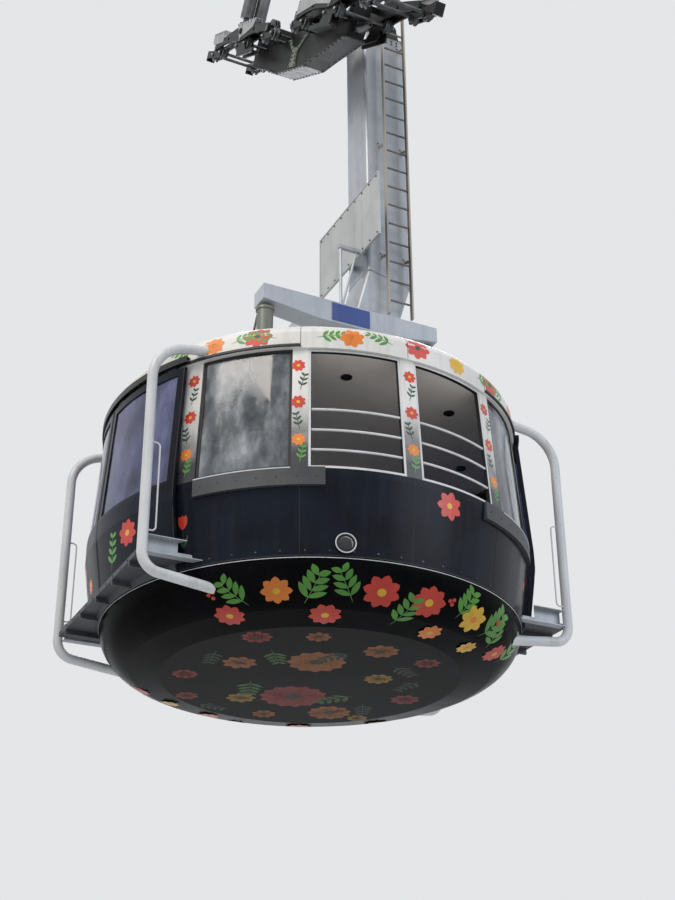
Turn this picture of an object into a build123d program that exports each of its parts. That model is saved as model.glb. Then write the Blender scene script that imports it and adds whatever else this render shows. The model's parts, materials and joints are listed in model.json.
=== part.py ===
from build123d import *
import os
from math import sin, cos, radians, degrees, hypot, sqrt

# Round aerial cable car cabin with its hanger and its carriage for two track ropes.
# Millimetres, +Z up, +Y uphill along the line, X across it.
# The origin lies midway between the two track ropes, at rope height, at the carriage's middle.

# Line
rope_slope = 33.0                # inclination of the track ropes at rest, degrees
rope_gauge = 700.0               # centre distance of the two track ropes
rope_dia = 50.0                  # track rope

# Carriage, measured along the rope (s) and square to it (n)
groove_r = 80.0                  # roller radius in the groove
flange_r = 100.0
roller_w = 70.0
rim_w = 12.0
axle_r = 25.0
axle_gap = 6.0                   # air round an axle in its plates
axle_tip = 12.0                  # axle end outside its plates
side_plate_t = 20.0
side_plate_gap = 10.0            # air between roller and side plate
bogie_pitch = 1250.0
bogie_half = 195.0               # roller to bogie middle
bogies_per_side = 3              # each way from the middle
bogie_pin_n = 192.0
bogie_pin_r = 26.0
bogie_lug_r = 50.0
bogie_lobe_r = 62.0              # round each roller's axle
rocker_n = 300.0                 # shaft of the main rockers above the rope plane
rocker_t = 30.0
rocker_low = 150.0
rocker_high = 265.0
rocker_peak = 385.0
rocker_peak_half = 260.0
shaft_r = 45.0
shaft_tip = 30.0
guard_from = 1180.0              # rope guard plates, along the rope
guard_to = 1990.0
guard_low = -85.0
nose_s = 3640.0                  # scraper at the outer end of the last bogie
nose_t = 40.0

girder_half_w = 125.0
girder_half = 1960.0
girder_top_gap = 12.0            # under the roller axles
girder_end_low = -140.0
girder_knee = 980.0
girder_knee_n = -315.0
girder_flat = 580.0
girder_low = -400.0
girder_t = 14.0
flange_out = 37.0                # bottom flange past the side plates
flange_t = 16.0
flange_joint = 6.0               # half gap where its two halves meet
cover_sheet = 8.0
cover_high = 430.0
end_cover_from = 2770.0          # covers over the outermost bogies
end_cover_toe = 3235.0
end_cover_to = 3320.0
end_cover_low = 240.0
brake_s = 1100.0
brake_n = 290.0
brake_r = 165.0
brake_disc_t = 16.0
brake_pitch = 40.0
brake_shaft_r = 40.0
cylinder_r = 100.0
cylinder_low = 550.0
cylinder_top = 1150.0
cylinder_shift = 190.0           # uphill of the rocker's shaft
socket_n = -20.0
haul_rope_r = 16.0

# Hanger pin across the girder and out past the far rope
pivot_n = 412.0                  # above the rope plane
pin_r = 75.0
pin_gap = 5.0
pin_cap_r = 140.0
pin_cap_t = 24.0
cheek_t = 45.0
cheek_foot = 390.0
cheek_r = 200.0
boss_r = 125.0
boss_half = 185.0
head_gap = 8.0                   # air between the head's eye and the pin's collars

# Hanger, heights from the cabin's seam ring
hanger_drop = 9443.0             # pin to seam
column_x = 990.0                 # column centre, outside the far rope
column_w = 620.0
column_d = 600.0
column_t = 16.0                  # plate of the box column
column_round = 50.0              # rounding of its upright edges
column_top = 9210.0
head_half_w = 250.0
head_r = 240.0                   # eye round the pin
crank_top = 5090.0
crank_offset = 140.0             # the outer edge's knee lies lower than the inner one's
foot_x = 650.0                   # column centre where its cranked foot meets the yoke
beam_top = 3830.0
beam_half = 1160.0
beam_w = 280.0
beam_end_h = 200.0
beam_mid_h = 290.0
beam_flat = 430.0                # half length of the deep middle
beam_y = 1010.0
yoke_h = 260.0
yoke_in = 500.0                  # its reach past the cabin's middle
yoke_lip = 30.0
yoke_gap_from = -250.0           # opening in the yoke for the ball joint's grease access
yoke_gap_to = -150.0
ladder_x0 = 890.0
ladder_x1 = 1230.0
ladder_low = 4380.0
ladder_high = 9560.0
rung_pitch = 305.0
rung_r = 14.0
stile_t = 24.0
stile_w = 60.0
ladder_off = 140.0               # ladder's middle in front of the column
ladder_brackets = (5307.0, 7144.0, 8980.0)
bracket_r = 90.0
board_x = 550.0
board_t = 24.0
board_half = 875.0
board_low = 5250.0
board_high = 6240.0
board_edge = 14.0                # edge strip proud of the board
conduit_y = -300.0
damper_x = 1080.0
damper_r = 98.0
damper_collar_h = 60.0
damper_gap = 10.0
pad_r = 150.0
pad_h = 40.0

# Cabin, radii from its axis and heights from the seam ring
wall_t = 60.0
seam_r = 2400.0
belly_h = 400.0
belly_out = 60.0                 # belly past the seam
belly_r = seam_r + belly_out
sill_low = 850.0
sill_h = 920.0
sill_out = 120.0                 # sill past the seam
sill_r = seam_r + sill_out
head_h = 2390.0
head_in = 100.0                  # wall's lean from sill to head
head_ring_r = sill_r - head_in
fascia_out = 30.0                # fascia past the wall's head
fascia_h = 200.0
roof_mid_in = 50.0
roof_mid_r = head_ring_r - roof_mid_in
roof_mid_rise = 110.0            # above the fascia
roof_in = 320.0
roof_r = head_ring_r - roof_in
roof_rise = 175.0
crown_rise = 260.0
roof_t = 40.0
ceiling_t = 20.0
hull_mid_in = 95.0               # the pan's outer face turns in by an arc through this ring
hull_mid_r = seam_r - hull_mid_in
hull_mid_z = -260.0
hull_in = 350.0
hull_r = seam_r - hull_in
hull_z = -434.0
hull_low_in = 700.0
hull_low_r = seam_r - hull_low_in
hull_low_z = -492.0
hull_bottom = -500.0
hull_t = 60.0
floor_top = 100.0
floor_t = 60.0
floor_gap = 10.0
floor_in = 170.0
floor_r = seam_r - floor_in
bearing_r = 1550.0
bearing_w = 150.0
centre_post_r = 200.0

# Windows and pillars, degrees from the front (-Y) about the axis
pillar_deg = 4.0
pillar_pitch = 28.0
jamb_from = 54.0
jamb_to = 60.0
frame_depth = 40.0
frame_set = 10.0                 # frame's face behind the wall's
gasket_w = 32.0
glass_t = 14.0
glass_set = 22.0
rail_heights = (1150.0, 1390.0, 1640.0)
guard_r = 14.0
guard_set = 30.0
grab_h = 1430.0
grab_set = 120.0                 # grab rail behind the glazed windows' face
grab_r = 17.0
ledge_h = 200.0
ledge_out = 30.0
ledge_seal = 0.2                 # film of sealant between ledge and wall
ledge_from = 22.0
lamp_in = 200.0                  # ceiling lamps inside the roof's ring
lamp_ring = roof_r - lamp_in
lamp_first = -13.5
lamp_count = 8
lamp_r = 65.0
lamp_t = 12.0
port_azimuth = -17.0
port_h = 130.0
port_r = 110.0
port_out = 22.0

# Doors
door_t = 40.0
door_bottom = 140.0
door_head_gap = 30.0             # below the wall's head
door_air = 10.0                  # between a leaf and the ledge
door_foot_out = 115.0            # leaf's outer face outside the seam
door_head_out = 80.0             # and outside the wall's head
door_frame_deg = 2.2
door_frame_low = 40.0
door_frame_high = 90.0
door_glass_t = 12.0
door_glass_set = 14.0
door_from = 58.5
door_meet = 89.85
hanger_tab_t = 15.0
hanger_tab_h = 84.0
hanger_tab_deg = 3.0
track_w = 25.0
track_h = 25.0
track_z = 15.0                   # track's foot above the wall's head
cover_half_deg = 32.0
cover_w = 70.0
cover_t = 12.0

# Platforms and bumpers
platform_out = 160.0             # platform's edge past the seam
platform_x = seam_r + platform_out
platform_y = 1364.0
platform_top = 120.0
platform_t = 55.0
platform_gap = 40.0
rib_t = 30.0
rib_low = 10.0
rib_spots = (-1100.0, -550.0, 0.0, 550.0, 1100.0)
channel_y = 1372.0
channel_d = 100.0
channel_low = 50.0
channel_high = 240.0
channel_t = 8.0
bumper_out = 145.0
bumper_x = seam_r + bumper_out
bumper_y = 1450.0
bumper_r = 55.0
bumper_top = 2520.0
bumper_shoulder = 2440.0
bumper_foot = -130.0
bumper_low = -225.0
bumper_top_bend = 430.0
bumper_low_bend = 210.0
stirrup_r = 9.0
stirrup_set = 130.0
stirrup_low = 290.0
stirrup_high = 1285.0

# Roof hatch
hatch_x = -950.0
hatch_half = 300.0
coaming_t = 25.0
coaming_h = 50.0                 # above the crown
lid_gap = 8.0
lid_t = 25.0
lip_h = 45.0
lip_t = 18.0
hinge_r = 14.0                   # knuckles on the lid's outer lower edge
hinge_pin_r = 6.0
hinge_gap = 1.0
hinge_w = 60.0
hinge_lug_t = 12.0
hinge_y = 200.0

os.makedirs("parts", exist_ok=True)

slope = radians(rope_slope)
half_gauge = rope_gauge / 2
axle_n = groove_r + rope_dia / 2
girder_top = axle_n - axle_r - girder_top_gap
pivot_y = -pivot_n * sin(slope)
pivot_z = pivot_n * cos(slope)
seam_z = pivot_z - hanger_drop
fascia_r = head_ring_r + fascia_out
fascia_top = head_h + fascia_h
ledge_low = sill_h - ledge_h
crown_z = fascia_top + crown_rise
roof_z = fascia_top + roof_rise
coaming_top = crown_z + coaming_h
cabin = Pos(0, pivot_y, seam_z)              # cabin axis and seam height
line = Rot(rope_slope, 0, 0)                 # carriage frame to the part's frame
sides = (-1, 1)


def save(name, shape):
    export_step(shape, f"parts/{name}.step")


def box(x0, x1, y0, y1, z0, z1):
    """Box between two corners."""
    return Pos((x0 + x1) / 2, (y0 + y1) / 2, (z0 + z1) / 2) * Box(x1 - x0, y1 - y0, z1 - z0)


def rod(p, q, r):
    """Round bar from p to q."""
    a, b = Vector(*p), Vector(*q)
    return Solid.make_cylinder(r, (b - a).length, Plane(origin=a, z_dir=b - a))


def cross_rod(x0, x1, s, n, r):
    """Round bar across the line, between two values of x."""
    return rod((x0, s, n), (x1, s, n), r)


VIA = "via"


def face_of(points, place):
    """Face inside an outline. A point marked VIA is passed by an arc between its neighbours."""
    ring = list(points) + [points[0]]
    edges = []
    at = 0
    while at < len(ring) - 1:
        a, b = place(ring[at]), place(ring[at + 1])
        if len(ring[at + 1]) > 2:
            edges.append(ThreePointArc(a, b, place(ring[at + 2])))
            at += 2
        else:
            edges.append(Line(a, b))
            at += 1
    return make_face(edges)


def sector(profile, start=0.0, arc=360.0):
    """Profile of (radius, height) turned about Z from a start angle off the front."""
    face = face_of(profile, lambda p: (p[0], 0, p[1]))
    return Rot(0, 0, start - 90) * revolve(face, Axis.Z, arc)


def ring_bar(r, z, half_w, half_h, start, arc):
    """Curved bar of rectangular section."""
    return sector([(r - half_w, z - half_h), (r + half_w, z - half_h), (r + half_w, z + half_h),
                   (r - half_w, z + half_h)], start, arc)


def ring_tube(ring, z, r, start, arc):
    """Curved round bar about Z."""
    face = Plane((ring, 0, z), x_dir=(1, 0, 0), z_dir=(0, -1, 0)) * Circle(r)
    return Rot(0, 0, start - 90) * revolve(face, Axis.Z, arc)


def plate(points, x0, x1):
    """Plate of a (y, z) outline between two values of x."""
    return extrude(face_of(points, lambda p: (x0, p[0], p[1])), x1 - x0, dir=(1, 0, 0))


def frontal(points, y0, y1):
    """Plate of an (x, z) outline between two values of y."""
    return extrude(face_of(points, lambda p: (p[0], y0, p[1])), y1 - y0, dir=(0, 1, 0))


def joined(solids):
    """All solids fused into one shape."""
    total = solids[0]
    for solid in solids[1:]:
        total = total + solid
    return total


def group(solids):
    return Compound(children=[s for part in solids for s in part.solids()])


# Carriage
rocker_s = (bogies_per_side / 2) * bogie_pitch
inner_x = half_gauge - roller_w / 2 - side_plate_gap - side_plate_t
outer_x = half_gauge + roller_w / 2 + side_plate_gap
rocker_in = inner_x - rocker_t
rocker_out = outer_x + side_plate_t + rocker_t
bogies = [(i + 0.5) * bogie_pitch * way for way in sides for i in range(bogies_per_side)]


def girder_outline(shrink=0.0):
    """Side view of the girder, or of its hollow when shrunk by a plate's thickness."""
    half = [(girder_half - shrink, girder_top - shrink), (girder_half - 50 - shrink, girder_end_low + shrink),
            (girder_knee, girder_knee_n + shrink), (girder_flat, girder_low + shrink)]
    return [(-s, n) for s, n in half] + [(s, n) for s, n in reversed(half)]


def carriage_girder():
    """Narrow box girder between the ropes, with pedestals for rockers, brakes and the hanger pin."""
    w = girder_half_w
    body = plate(girder_outline(), -w, w) - plate(girder_outline(girder_t), -w + girder_t, w - girder_t)
    for s in (-1500, -700, 700, 1500):
        body -= rod((0, s, girder_top - 2 * girder_t), (0, s, girder_top + 1), 70)
    low = girder_top - girder_t
    cheek = [(-cheek_foot, low), (cheek_foot, low), (cheek_r, pivot_n), (-cheek_r, pivot_n)]
    for side in sides:
        x0 = min(side * w, side * (w - cheek_t))
        body += plate(cheek, x0, x0 + cheek_t) + cross_rod(x0, x0 + cheek_t, 0, pivot_n, cheek_r)
    body += cross_rod(-boss_half, boss_half, 0, pivot_n, boss_r)
    for end in sides:
        foot, top = rocker_s * end, rocker_n + 75
        body += plate([(foot - 80, low), (foot + 80, low), (foot + 75, rocker_n),
                       (foot, top, VIA), (foot - 75, rocker_n)], -w, w)
        body -= cross_rod(-rocker_out, rocker_out, foot, rocker_n, shaft_r)
        foot, top = brake_s * end, brake_n + 65
        body += plate([(foot - 90, low), (foot + 90, low), (foot + 65, brake_n),
                       (foot, top, VIA), (foot - 65, brake_n)], -w + 15, w - 15)
        body -= cross_rod(-rocker_out, rocker_out, foot, brake_n, brake_shaft_r)
    return body - cross_rod(-rocker_out, rocker_out, 0, pivot_n, pin_r)


def girder_flange(way):
    """One half of the bolted flange that follows the girder's underside."""
    w = girder_half_w + flange_out
    low = [(flange_joint, girder_low), (girder_flat, girder_low), (girder_knee, girder_knee_n),
           (girder_half - 50, girder_end_low)]
    outline = low + [(s, n - flange_t) for s, n in reversed(low)]
    return plate([(way * s, n) for s, n in outline], -w, w)


def pin_bracket(side):
    """Y-shaped plate on the girder's side, which ties the pin's housing to the bottom flange."""
    x0 = side * girder_half_w
    high = girder_top
    right = [(280, high), (cheek_foot, high), (cheek_foot, high - 30), (320, high - 45), (95, -140), (110, -300),
             (160, girder_low + 30)]
    arm = [(-s, n) for s, n in reversed(right)] + [(0, high - 150, VIA)] + right
    return plate(arm, min(x0, x0 + side * 18), max(x0, x0 + side * 18))


def hanger_pin():
    """Shaft across the girder and through the hanger's head, with its collars."""
    head_in = column_x - head_half_w - head_gap
    head_out = column_x + head_half_w + head_gap
    near = -boss_half - pin_cap_t
    pin = cross_rod(near, head_out + pin_cap_t, 0, pivot_n, pin_r)
    pin += cross_rod(near, -boss_half, 0, pivot_n, boss_r - 15)
    pin += cross_rod(head_in - pin_cap_t, head_in, 0, pivot_n, pin_cap_r)
    return pin + cross_rod(head_out, head_out + pin_cap_t, 0, pivot_n, pin_cap_r)


def bogie_frame(side, s):
    """Two side plates with roller holes, a pin block above, and the rope guard or the scraper."""
    way = 1 if s > 0 else -1
    outer_row = abs(s) > 2 * bogie_pitch
    middle_row = bogie_pitch < abs(s) < 2 * bogie_pitch
    lobe, lug = bogie_lobe_r, bogie_lug_r
    web = [(s - bogie_half, axle_n - lobe), (s + bogie_half, axle_n - lobe), (s + bogie_half + 40, axle_n + 45),
           (s + lug, bogie_pin_n + 10), (s - lug, bogie_pin_n + 10), (s - bogie_half - 40, axle_n + 45)]
    frame = None
    for x in (inner_x, outer_x):
        side_plate = plate(web, x, x + side_plate_t) + cross_rod(x, x + side_plate_t, s, bogie_pin_n, lug)
        for end in sides:
            side_plate += cross_rod(x, x + side_plate_t, s + end * bogie_half, axle_n, lobe)
        if middle_row:
            shoe = [(guard_from, guard_low + 30), (guard_from + 40, guard_low), (guard_to - 40, guard_low),
                    (guard_to, guard_low + 30), (guard_to, axle_n), (guard_to - 300, axle_n), (guard_to - 420, -15)]
            shoe += [(guard_from, -15)]
            side_plate += plate([(way * a, n) for a, n in shoe], x, x + side_plate_t)
        if outer_row:
            arm = [(3300, axle_n - 40), (nose_s, axle_n - 30), (nose_s, axle_n + 95), (3300, axle_n + 60)]
            side_plate += plate([(way * a, n) for a, n in arm], x, x + side_plate_t)
        frame = side_plate if frame is None else frame + side_plate
    far = outer_x + side_plate_t
    frame += box(inner_x, far, s - 40, s + 40, bogie_pin_n - 15, bogie_pin_n + lug)
    if outer_row:
        a, b = sorted((way * (nose_s - nose_t), way * nose_s))
        frame += box(inner_x, far, a, b, rope_dia / 2 + 10, axle_n + 95)
    for end in sides:
        frame -= cross_rod(0, 2 * half_gauge, s + end * bogie_half, axle_n, axle_r + axle_gap)
    frame -= cross_rod(0, 2 * half_gauge, s, bogie_pin_n, bogie_pin_r)
    return frame if side > 0 else mirror(frame, Plane.YZ)


def rocker_half(way):
    """Far rope's half of a main rocker: two arched beams with the three bogie pins."""
    mid = way * rocker_s
    reach = bogie_pitch + 60
    rise = rocker_low + 45
    beams = None
    outline = [(-reach, rocker_low), (-reach + 130, rocker_low), (-bogie_pitch / 2, rise, VIA), (-130, rocker_low),
               (130, rocker_low), (bogie_pitch / 2, rise, VIA), (reach - 130, rocker_low), (reach, rocker_low),
               (reach, rocker_high), (rocker_peak_half, rocker_peak), (-rocker_peak_half, rocker_peak),
               (-reach, rocker_high)]
    for x in (rocker_in, rocker_out - rocker_t):
        beam = plate([(mid + p[0], *p[1:]) for p in outline], x, x + rocker_t)
        for spot in (-bogie_pitch / 2, bogie_pitch / 2):
            beam -= cross_rod(x - 1, x + rocker_t + 1, mid + spot, (rise + rocker_high) / 2 + 25, 34)
        beams = beam if beams is None else beams + beam
    for k in (-1, 0, 1):
        beams += cross_rod(rocker_in, rocker_out, mid + k * bogie_pitch, bogie_pin_n, bogie_pin_r)
    return beams


def main_rocker(way):
    """Both halves on their shaft across the girder."""
    half = rocker_half(way)
    reach = rocker_out + shaft_tip
    return half + cross_rod(-reach, reach, way * rocker_s, rocker_n, shaft_r) + mirror(half, Plane.YZ)


def brake_set(way):
    """Disc stacks of the rope brake on a cross shaft over the girder."""
    reach = rocker_in - side_plate_t
    starts = [girder_half_w + brake_disc_t + k * brake_pitch for k in range(3)]
    points = [(-reach, 0), (-reach, brake_shaft_r)]
    for x in [-x0 - brake_disc_t for x0 in reversed(starts)] + starts:
        points += [(x, brake_shaft_r), (x, brake_r), (x + brake_disc_t, brake_r), (x + brake_disc_t, brake_shaft_r)]
    points += [(reach, brake_shaft_r), (reach, 0)]
    turned = revolve(face_of(points, lambda p: (p[0], 0, p[1])), Axis.X, 360)
    return Pos(0, way * brake_s, brake_n) * turned


# way along the rope, then the outline of one cover on the outer rocker beam
end_cover = [(end_cover_from, cover_high), (end_cover_from, end_cover_low), (end_cover_toe, end_cover_low),
             (end_cover_to, 300), (end_cover_to, cover_high)]
cover_outlines = (
    (1, [(1230, cover_high), (1330, 295), (1900, 185), (2110, cover_high)]),
    (1, end_cover),
    (-1, [(640, 400), (640, 200), (1330, 265), (1900, 185), (2110, cover_high)]),
    (-1, end_cover),
)


def rocker_cover(side, way, outline):
    """Sheet on the rocker's outer face with its top edge folded inward."""
    x0 = rocker_out
    points = [(way * s, n) for s, n in outline]
    sheet = plate(points, x0, x0 + cover_sheet)
    ends = sorted((way * outline[0][0], way * outline[-1][0]))
    top = min(outline[0][1], outline[-1][1])
    sheet += box(x0 - 120, x0 + cover_sheet, ends[0], ends[1], top - cover_sheet, top)
    sheet -= cross_rod(0, 2 * half_gauge, way * rocker_s, rocker_n, shaft_r)
    return sheet if side > 0 else mirror(sheet, Plane.YZ)


def upright_cylinder(x, s, low):
    """Brake cylinder standing on a rocker: foot plate, neck, barrel and cap."""
    return (Pos(x, s, low) * joined([
        Pos(0, 0, z) * Cylinder(r, h, align=(Align.CENTER, Align.CENTER, Align.MIN))
        for r, z, h in ((cylinder_r * 0.85, 0, 20), (cylinder_r * 0.45, 20, cylinder_low - low - 20),
                        (cylinder_r, cylinder_low - low, cylinder_top - cylinder_low),
                        (cylinder_r * 0.6, cylinder_top - low, 30))]))


def cylinder_pair(way):
    """Two cylinders side by side on a saddle over a rocker's inner half."""
    s = rocker_s + cylinder_shift
    deck = cover_high
    saddle = box(-rocker_out, -60, s - 90, s + 90, deck, deck + 20)
    saddle += box(-rocker_in - rocker_t, -rocker_in, s - 60, s + 60, rocker_peak, deck)
    pair = joined([saddle] + [upright_cylinder(x, s, deck + 20) for x in (-360, -150)])
    return pair if way > 0 else Rot(0, 0, 180) * pair


def track_axle(s):
    """Two grooved rollers on one axle."""
    half = roller_w / 2
    g = half_gauge
    tip = outer_x + side_plate_t + axle_tip
    seat = rope_dia / 2 - 3
    points = [(0, 0), (0, axle_r), (g - half, axle_r), (g - half, flange_r), (g - half + rim_w, flange_r),
              (g - seat, groove_r + 8), (g, groove_r, VIA), (g + seat, groove_r + 8), (g + half - rim_w, flange_r),
              (g + half, flange_r), (g + half, axle_r), (tip, axle_r), (tip, 0)]
    one = revolve(face_of(points, lambda p: (p[0], 0, p[1])), Axis.X, 360)
    return Pos(0, s, axle_n) * (one + mirror(one, Plane.YZ))


def haul_socket(way):
    """Tapered socket of the haul rope with its clevis at the girder's end."""
    face_s = girder_half - 30
    body = box(-60, 60, face_s, face_s + 120, socket_n - 60, socket_n + 60)
    body += Solid.make_cone(70, 32, 320, Plane(origin=(0, face_s + 120, socket_n), z_dir=(0, 1, 0)))
    body -= rod((0, face_s + 240, socket_n), (0, face_s + 700, socket_n), haul_rope_r)
    body -= plate(girder_outline(), -girder_half_w, girder_half_w)
    return body if way > 0 else Rot(0, 0, 180) * body


save("carriage_girder", line * carriage_girder())
save("girder_flange", line * group([girder_flange(way) for way in sides]))
save("pin_brackets", line * group([pin_bracket(side) for side in sides]))
save("hanger_pin", line * hanger_pin())
save("main_rockers", line * group([main_rocker(way) for way in sides]))
save("bogie_frames", line * group([bogie_frame(side, s) for side in sides for s in bogies]))
save("rocker_covers", line * group([rocker_cover(side, *row) for side in sides for row in cover_outlines]))
save("brake_discs", line * group([brake_set(way) for way in sides]))
save("brake_cylinders", line * group([cylinder_pair(way) for way in sides]))
stations = sorted(s + way * bogie_half for s in bogies for way in sides)
for number, s in enumerate(stations, 1):
    save(f"track_axle_{number:02d}", line * track_axle(s))
save("haul_sockets", line * group([haul_socket(way) for way in sides]))

# Hanger
column_half_w = column_w / 2
column_half_d = column_d / 2
beam_low = beam_top - beam_mid_h
crank_shift = column_x - foot_x


def hanger_head():
    """Rounded lug on the column's top, bored for the pin."""
    cheek = [(-column_half_d, column_top), (column_half_d, column_top), (head_r, hanger_drop),
             (0, hanger_drop + head_r, VIA), (-head_r, hanger_drop)]
    head = plate(cheek, column_x - head_half_w, column_x + head_half_w)
    head += box(column_x - column_half_w, column_x + column_half_w, -column_half_d, column_half_d,
                column_top, column_top + 30)
    return head - cross_rod(0, 2 * column_x, 0, hanger_drop, pin_r + pin_gap)


def column_outline(inset):
    """Front view of the cranked column, or of its hollow when inset by a plate's thickness."""
    left, right = column_x - column_half_w + inset, column_x + column_half_w - inset
    return [(left, column_top), (left, crank_top), (left - crank_shift, beam_top), (right - crank_shift, beam_top),
            (right, crank_top - crank_offset), (right, column_top)]


def hanger_column():
    """Box column with rounded upright edges and a cranked foot."""
    outer = frontal(column_outline(0), -column_half_d, column_half_d)
    uprights = [e for e in outer.edges() if abs(abs(e.center().Y) - column_half_d) < 1
                and e.bounding_box().size.Z > column_t]
    outer = fillet(uprights, column_round)
    return outer - frontal(column_outline(column_t), -column_half_d + column_t, column_half_d - column_t)


def yoke():
    """Box girder along the line between the two roof beams, under the column's foot."""
    half_y = beam_y - beam_w / 2
    reach = foot_x + column_half_w + yoke_lip
    body = box(-yoke_in, reach, -half_y, half_y, beam_top - yoke_h, beam_top)
    return body - box(yoke_gap_from, yoke_gap_to, -half_y + beam_w, half_y - beam_w, 0, beam_top + 1)


def roof_beam(way):
    """Tapered beam across the cabin, with a shallow fold along its lower edge."""
    outline = [(-beam_half, beam_top), (-beam_half, beam_top - beam_end_h), (-beam_flat, beam_low),
               (beam_flat, beam_low), (beam_half, beam_top - beam_end_h), (beam_half, beam_top)]
    return Pos(0, way * beam_y, 0) * frontal(outline, -beam_w / 2, beam_w / 2)


def roof_outline(drop=0.0):
    """Outer line of the roof from the fascia to the crown, or its inner line when dropped."""
    return [(fascia_r - 1.5 * drop, fascia_top), (roof_mid_r - drop, fascia_top + roof_mid_rise - drop, VIA),
            (roof_r - drop / 4, roof_z - drop), (0, crown_z - drop)]


def roof_solid():
    return sector([(0, head_h), (fascia_r, head_h)] + roof_outline())


def roof_height(r):
    """Height of the roof's outer face at a radius inside the flat part."""
    return crown_z + (roof_z - crown_z) * r / roof_r


def end_damper(x, y):
    """Vertical damper with collar and ball, between its roof pad and the beam's sloping end."""
    reach = hypot(x, y)
    low = roof_height(reach) + pad_h
    high = beam_top - beam_end_h - damper_gap
    rings = ((damper_r, low, high - low - damper_collar_h), (damper_r * 1.12, low, 30),
             (damper_r * 1.12, high - damper_collar_h - 30, 30), (damper_r * 0.6, high - damper_collar_h, 2 * damper_collar_h))
    body = joined([Pos(x, y, z) * Cylinder(r, h, align=(Align.CENTER, Align.CENTER, Align.MIN)) for r, z, h in rings])
    body -= roof_beam(-1) + roof_beam(1)
    pad = Pos(x, y, roof_z - hull_t) * Cylinder(pad_r, 4 * hull_t, align=(Align.CENTER, Align.CENTER, Align.MIN))
    pad &= box(-seam_r, seam_r, -seam_r, seam_r, 0, low)
    return body + (pad - roof_solid())


def ladder():
    """Stiles, rungs and the curved straps that hold them off the column."""
    mid = -column_half_d - ladder_off
    parts = []
    for x in (ladder_x0, ladder_x1):
        parts.append(box(x - stile_t / 2, x + stile_t / 2, mid - stile_w / 2, mid + stile_w / 2, ladder_low, ladder_high))
    count = int((ladder_high - ladder_low) / rung_pitch)
    for k in range(count):
        parts.append(rod((ladder_x0, mid, ladder_low + (k + 0.7) * rung_pitch),
                         (ladder_x1, mid, ladder_low + (k + 0.7) * rung_pitch), rung_r))
    gap = ladder_off - stile_w / 2
    for z in ladder_brackets:
        strap = [(mid + stile_w / 2 - 4, z + stile_t / 2), (mid + stile_w / 2 + gap * 0.6, z + bracket_r * 0.3, VIA),
                 (-column_half_d, z + bracket_r), (-column_half_d, z + bracket_r - stile_t),
                 (mid + stile_w / 2 + gap * 0.65, z + bracket_r * 0.3 - stile_t, VIA),
                 (mid + stile_w / 2 - 4, z - stile_t / 2)]
        for x in (ladder_x0, ladder_x1):
            parts.append(plate(strap, x - stile_t / 2, x + stile_t / 2))
    return joined(parts)


def side_board():
    """Flat board beside the column with an edge strip, on four stand-offs."""
    face = column_x - column_half_w
    x0, x1 = board_x - board_t / 2, board_x + board_t / 2
    board = box(x0, x1, -board_half, board_half, board_low, board_high)
    rim = box(x0 - board_edge / 2, x0, -board_half, board_half, board_low, board_high)
    rim -= box(x0 - board_edge, x0 + 1, -board_half + board_edge, board_half - board_edge,
               board_low + board_edge, board_high - board_edge)
    board += rim
    for y in (-column_d / 3, column_d / 3):
        for z in (board_low + 170, board_high - 200):
            board += box(x1, face, y - 30, y + 30, z - 30, z + 30)
    return board


# conduit radius, then its upper and its lower end in x and z
conduit_runs = ((20.0, 270.0, board_low, 270.0, beam_top), (16.0, 505.0, board_low, 150.0, beam_top))


def conduits():
    """Pipes from the side board's foot down to the yoke."""
    reach = board_x - board_t / 2
    pipes = joined([rod((x0, conduit_y, z0 + 60), (x1, conduit_y, z1), r) for r, x0, z0, x1, z1 in conduit_runs])
    pipes += box(240, reach, conduit_y - 25, conduit_y + 25, board_low + 40, board_low + 90)
    return pipes - frontal(column_outline(0), -column_half_d, column_half_d) - box(
        -beam_half, beam_half, -beam_y, beam_y, 0, beam_top)


save("hanger_head", cabin * hanger_head())
save("hanger_column", cabin * hanger_column())
save("hanger_yoke", cabin * yoke())
save("roof_beams", cabin * group([roof_beam(way) for way in sides]))
save("ladder", cabin * ladder())
save("side_board", cabin * side_board())
save("conduits", cabin * conduits())
corners = [(x, y) for x in (-damper_x, damper_x) for y in (-beam_y, beam_y)]
save("dampers", cabin * group([end_damper(x, y) for x, y in corners]))

# Cabin
lower_out = [(seam_r, 0), (belly_r, belly_h, VIA), (sill_r, sill_low), (sill_r, sill_h)]
upper_out = [(sill_r, sill_h), (head_ring_r, head_h)]
hull_out = [(seam_r, 0), (hull_mid_r, hull_mid_z, VIA), (hull_r, hull_z), (hull_low_r, hull_low_z), (0, hull_bottom)]
halves = (0.0, 180.0)


def shell(outer):
    """Wall profile: the outer line and the same line moved in by the wall's thickness."""
    return outer + [(p[0] - wall_t, *p[1:]) for p in reversed(outer)]


def wall_r(z):
    """Outer radius of the window wall at a height."""
    return sill_r + (head_ring_r - sill_r) * (z - sill_h) / (head_h - sill_h)


def hull_solid():
    return sector(hull_out + [(0, 0)])


def floor_pan():
    """Hull below the seam with the floor's rim, its ring bearing and the centre post."""
    edge = seam_r - wall_t
    top = floor_top - floor_t - floor_gap
    low = hull_low_z + hull_t
    inner = [(0, hull_bottom + hull_t), (hull_low_r - hull_t / 3, low), (hull_r - hull_t / 2, hull_z + hull_t),
             (hull_mid_r - hull_t, hull_mid_z + hull_t / 2, VIA), (edge, -hull_t / 3),
             (floor_r + floor_gap, -hull_t / 3), (floor_r + floor_gap, floor_top), (edge, floor_top)]
    pan = sector(hull_out + inner + [(edge, 0)])
    base = hull_bottom + hull_t / 2
    for r0, r1 in ((bearing_r, bearing_r + bearing_w), (0, centre_post_r)):
        pan += sector([(r0, base), (r1, base), (r1, top), (r0, top)])
    return pan


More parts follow.
